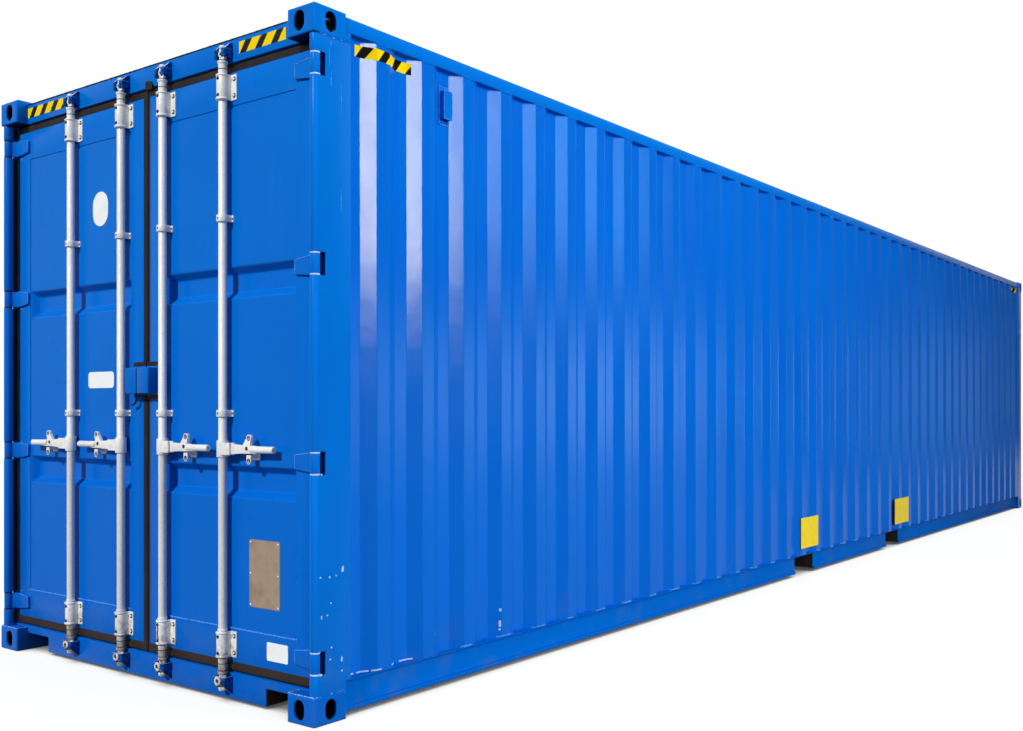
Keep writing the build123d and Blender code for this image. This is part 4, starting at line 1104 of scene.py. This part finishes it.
# Painted shade: black rubber pads round the lock box stand for the shade along its edges.
for door, y0, y1, z0 in (("left_door", 0.004, 0.104, 1.330), ("right_door", -0.116, -0.004, 1.318)):
    pad = [rounded_plate(LEAF_FACE, y0, y1, z0, 1.494, 0.004, 0.0025)]
    make_piece(door + "_lock_box_pad", pad, rubber, door)
# The hook is real, and its black also carries the shade under the box as painted shade.
HOOK = ((0.050, 1.343), (0.050, 1.312), (0.056, 1.300), (0.068, 1.293), (0.088, 1.291))
hook = [bead([(DOOR_END + 0.040, y, z) for y, z in HOOK], 0.0045, OUT)]
make_piece("left_door_lock_box_hook", hook, shade_black_steel, "left_door", True)

# %% [markdown]
# ## Chips, drips and a rust streak
# Where the corner post has been knocked, the paint is gone down to pale primer. Each chip is a flat
# blot with a ragged rim, a fraction of a millimetre thick. The crests of the side walls are lighter
# at their feet. A brown streak runs down one saddle, from the grease hole to its lower rim.


# %% Chips and streaks
def chip(x, y, z, width, height, seed):
    """A ragged blot on a face that looks to negative Y."""
    rng = random.Random(seed)
    points = [Vector((x, y - 0.0003, z))]
    for k in range(11):
        turn = 2 * math.pi * k / 11
        reach = rng.uniform(0.55, 1.1)
        side = Vector((math.cos(turn) * width / 2 * reach, 0, math.sin(turn) * height / 2 * reach))
        points.append(Vector((x, y - 0.0001, z)) + side)
    faces = [(0, 1 + k, 1 + (k + 1) % 11) for k in range(11)]
    return points, faces


CHIPS = (
    (-6.054, 1.009, 0.009, 0.009),
    (-5.937, 0.616, 0.016, 0.033),
    (-5.974, 0.595, 0.006, 0.009),
    (-6.010, 0.593, 0.010, 0.013),
    (-6.059, 0.597, 0.010, 0.010),
    (-6.002, 0.487, 0.007, 0.007),
    (-6.022, 0.440, 0.009, 0.009),
    (-6.053, 0.435, 0.008, 0.021),
    (-5.999, 0.307, 0.010, 0.010),
    (-5.942, 0.250, 0.012, 0.029),
    (-6.006, 0.259, 0.012, 0.008),
    (-5.941, 0.202, 0.012, 0.009),
    (-6.058, 0.206, 0.020, 0.012),
)
shapes = []
for seed, (x, z, width, height) in enumerate(CHIPS):
    shapes.append(chip(x, SKIN - SIDE, z, width, height, seed))
make_piece("right_post_paint_chips", shapes, primer_and_highlight_paint, "box")

SCRATCHES = (
    (-6.002, 2.735, 2.765, 0.003),
    (-6.010, 2.655, 2.730, 0.003),
    (-6.001, 2.570, 2.640, 0.004),
    (-5.944, 2.470, 2.600, 0.003),
    (-5.946, 2.080, 2.170, 0.003),
)


def scratch(x, low, high, width):
    """A pointed mark that runs up the side of the post."""
    spine = ((low, 0.0004), (low * 0.4 + high * 0.6, width / 2), (high, 0.0004))

    def places(depth):
        return [(x + side, SKIN - SIDE - depth, z) for z, half in spine for side in (half, -half)]

    return layered((0.0003, 0.0), places)


shapes = [scratch(*row) for row in SCRATCHES]
make_piece("right_post_scratches", shapes, rubbed_and_highlight_paint, "box")

THIN = 0.0003
DRIPS = ((-4.881, 0.294, 0.011, 0.014), (-4.883, 0.227, 0.011, 0.030), (-4.884, 0.199, 0.009, 0.010))
# Painted highlight: pale dashes on the weld at the foot of the wall.
FOOT_HIGHLIGHTS = ((-5.853, 0.024), (-5.797, 0.055), (-5.735, 0.050), (-5.618, 0.026), (-5.528, 0.075))
shapes = []
for x, z, width, height in DRIPS:
    low, high = z - height / 2, z + height / 2
    shapes.append(wall_film(-1, x - width / 2, x + width / 2, low, high, THIN))
for x, width in FOOT_HIGHLIGHTS:
    shapes.append(wall_film(-1, x - width / 2, x + width / 2, 0.1625, 0.1685, THIN))
make_piece("right_wall_drips_and_foot_highlights", shapes, primer_and_highlight_paint, "box")

rng = random.Random(7)
shapes = []
for sign in (-1, 1):
    for wave in range(2, WAVES):
        crest = WALL_START + WALL_FIRST + wave * WALL_PITCH + WALL_SLOPE
        start = crest + rng.uniform(-0.030, 0.020)
        end = crest + WALL_FLAT + rng.uniform(-0.030, 0.030)
        high = 0.1615 + rng.uniform(0.005, 0.009)
        shapes.append(wall_film(sign, start, min(end, 5.870), 0.1615, high, THIN))
make_piece("side_wall_light_crest_feet", shapes, rubbed_and_highlight_paint, "box")

STREAK = ((0.286, 0.0030), (0.272, 0.0050), (0.262, 0.0028), (0.252, 0.0052))
STREAK += ((0.238, 0.0046), (0.222, 0.0060), (0.206, 0.0075))


def streak_row(lift):
    """The two edges of the streak, wrapped round the saddle at a distance from its axis."""
    row = []
    for z, width in STREAK:
        sway = 0.0025 * math.sin(z * 160)
        for across in (-width, width):
            turn = (sway + across) / SADDLE_RADIUS
            row.append((BAR_AXIS - lift * math.cos(turn), -0.165 + lift * math.sin(turn), z))
    return row


streak = [layered((0.0276, 0.0268), streak_row)]
make_piece("right_saddle_rust_streak", streak, rust_film, "right_door")

# %% [markdown]
# ## Floor and world
# Rays that show the background see plain white. Rays that light the container see a much weaker
# sky, so that paint renders about as it is written. The floor glows white as well, and an occlusion
# window dims the glow close to the container, which leaves its shadow where it stands.

# %% Floor and world
floor_mesh = bpy.data.meshes.new("studio_floor")
floor_mesh.from_pydata([(-900, -900, 0), (900, -900, 0), (900, 900, 0), (-900, 900, 0)], [], [(0, 1, 2, 3)])
floor = add_object("studio_floor", floor_mesh)


def seen_ray(tree):
    """One for rays that show the background itself: straight, in a mirror or through glass."""
    path = tree.nodes.new("ShaderNodeLightPath")
    seen = maths("MAXIMUM", path.outputs["Is Camera Ray"], path.outputs["Is Glossy Ray"])
    return maths("MAXIMUM", seen, path.outputs["Is Transmission Ray"])


floor_finish, tree, shader = new_finish("pale_studio_floor")
cloud = window(pattern(place_of(tree), 0.4, 3), 0.3, 0.7)
grey = tint(cloud, linear(88, 89, 91), linear(91, 92, 94))
feed(shader, "Base Color", grey)
feed(shader, "Roughness", 0.9)
feed(shader, "Specular IOR Level", 0.0)
feed(shader, "Emission Color", (1.0, 1.0, 1.0, 1.0))
open_sky = tree.nodes.new("ShaderNodeAmbientOcclusion")
open_sky.samples = 8
feed(open_sky, "Distance", 0.5)
clear = window(open_sky.outputs["AO"], 0.10, 0.50, 0.05, 0.90)
glow = maths("MULTIPLY", seen_ray(tree), clear)
feed(shader, "Emission Strength", glow)
floor_mesh.materials.append(floor_finish)

world = bpy.data.worlds.new("studio_world")
bpy.context.scene.world = world
world.use_nodes = True
tree = world.node_tree
glow = tree.nodes["Background"]
feed(glow, "Color", (0.90, 0.95, 1.0, 1.0))
feed(glow, "Strength", 0.30)
white = tree.nodes.new("ShaderNodeBackground")
feed(white, "Strength", 1.0)
feed(white, "Color", (1.0, 1.0, 1.0, 1.0))
choice = tree.nodes.new("ShaderNodeMixShader")
feed(choice, 0, seen_ray(tree))
feed(choice, 1, glow.outputs[0])
feed(choice, 2, white.outputs[0])
feed(tree.nodes["World Output"], "Surface", choice.outputs[0])
print("floor and world ready")

# %% [markdown]
# ## Lamps
# A low sun in front of the doors is the key, and a wide, soft one lights the two far sides. A square
# lamp fills the long wall. The other three only show as mirror images in that wall: a strip where
# the slopes nearest the doors mirror it, a bluish panel for the next slopes, and a faint band for
# the far half. That row of gleams is what makes the folds readable.


# %% Lamps
def soft_lamp(name, spot, aim, width, height, watts):
    """A rectangular lamp at a spot, turned to an aim."""
    data = bpy.data.lights.new(name, "AREA")
    data.shape = "RECTANGLE"
    data.size = width
    data.size_y = height
    data.energy = watts
    lamp = add_object(name, data)
    lamp.location = spot
    lamp.rotation_euler = (Vector(aim) - Vector(spot)).to_track_quat("-Z", "Y").to_euler()
    return lamp


def sun_lamp(name, towards, softness, strength):
    """A distant lamp. towards points from the object to the lamp."""
    data = bpy.data.lights.new(name, "SUN")
    data.angle = math.radians(softness)
    data.energy = strength
    lamp = add_object(name, data)
    lamp.rotation_euler = (-Vector(towards)).to_track_quat("-Z", "Y").to_euler()
    return lamp


sun_lamp("door_end_key", (-1.0, 0.02, 0.68), 3, 2.7)
sun_lamp("far_sides_fill", (0.7, 1.0, 0.6), 40, 1.6)
fill = soft_lamp("long_side_fill", (-3.8, -10.2, 4.2), (-3.8, 0.0, 1.2), 3.0, 3.0, 810)
fill.visible_glossy = False
gleam = soft_lamp("slope_gleam_strip", (-6.92, -9.0, 4.6), (-6.2, 0.0, 3.0), 1.0, 3.6, 3700)
gleam.data.color = (1.0, 0.98, 0.75)
sky = soft_lamp("sky_gleam_panel", (-4.5, -9.0, 4.9), (-4.5, 0.0, 3.0), 3.0, 3.4, 1500)
sky.data.color = (0.15, 0.65, 1.0)
haze = soft_lamp("horizon_haze_band", (8.0, -12.0, 1.6), (0.0, 0.0, 1.6), 9.5, 2.4, 620)
haze.data.color = (0.65, 0.95, 0.85)
mirrors = bpy.data.collections.new("surfaces_that_mirror_the_strips")
mirrors.objects.link(nodes["right_side_wall"])
for lamp in (gleam, sky, haze):
    lamp.visible_diffuse = False
    lamp.visible_camera = False
    lamp.light_linking.receiver_collection = mirrors
print("lamps ready")

# %% [markdown]
# ## Dark flag
# A flag is a dark card that keeps reflections off. Without it the far half of the long wall would
# mirror the white world at a grazing angle and look milky. Only mirror rays see it.

# %% Dark flag
flag_mesh = bpy.data.meshes.new("dark_flag")
flag_points = [(-8, -14.2, 0), (80, -14.2, 0), (80, -14.2, 11), (-8, -14.2, 11)]
flag_points += [(5.5, -5.0, 0), (60, -5.0, 0), (60, -5.0, 6), (5.5, -5.0, 6)]
flag_mesh.from_pydata(flag_points, [], [(0, 1, 2, 3), (4, 5, 6, 7)])
flag = add_object("dark_flag", flag_mesh)
flag_finish, tree, shader = new_finish("dark_flag_cloth")
feed(shader, "Base Color", linear(30, 40, 60))
feed(shader, "Roughness", 1.0)
flag_mesh.materials.append(flag_finish)
flag.visible_camera = False
flag.visible_diffuse = False
flag.visible_shadow = False
print("flag ready")

# %% [markdown]
# ## Camera
# The camera stands a little below half height and level. A small upward shift takes the place of a
# tilt, so the upright edges stay upright.

# %% Camera
camera_data = bpy.data.cameras.new("photo_camera")
camera = add_object("photo_camera", camera_data)
camera.location = (-9.052, -4.4508, 1.2717)
camera.rotation_euler = (math.radians(90), 0.0, math.radians(37.241 - 90))
camera_data.sensor_fit = "HORIZONTAL"
camera_data.sensor_width = 36.0
camera_data.lens = 1084.24 / 1023 * 36.0
camera_data.shift_y = 43.56 / 1023
camera_data.clip_end = 1500.0
bpy.context.scene.camera = camera
bpy.context.scene.view_settings.view_transform = "Standard"
print("camera at", tuple(camera.location))

# %% [markdown]
# ## Close the scene
# The dressing must not make the container larger. The last call brings the scene up to date.

# %% Finish
bpy.context.view_layer.update()
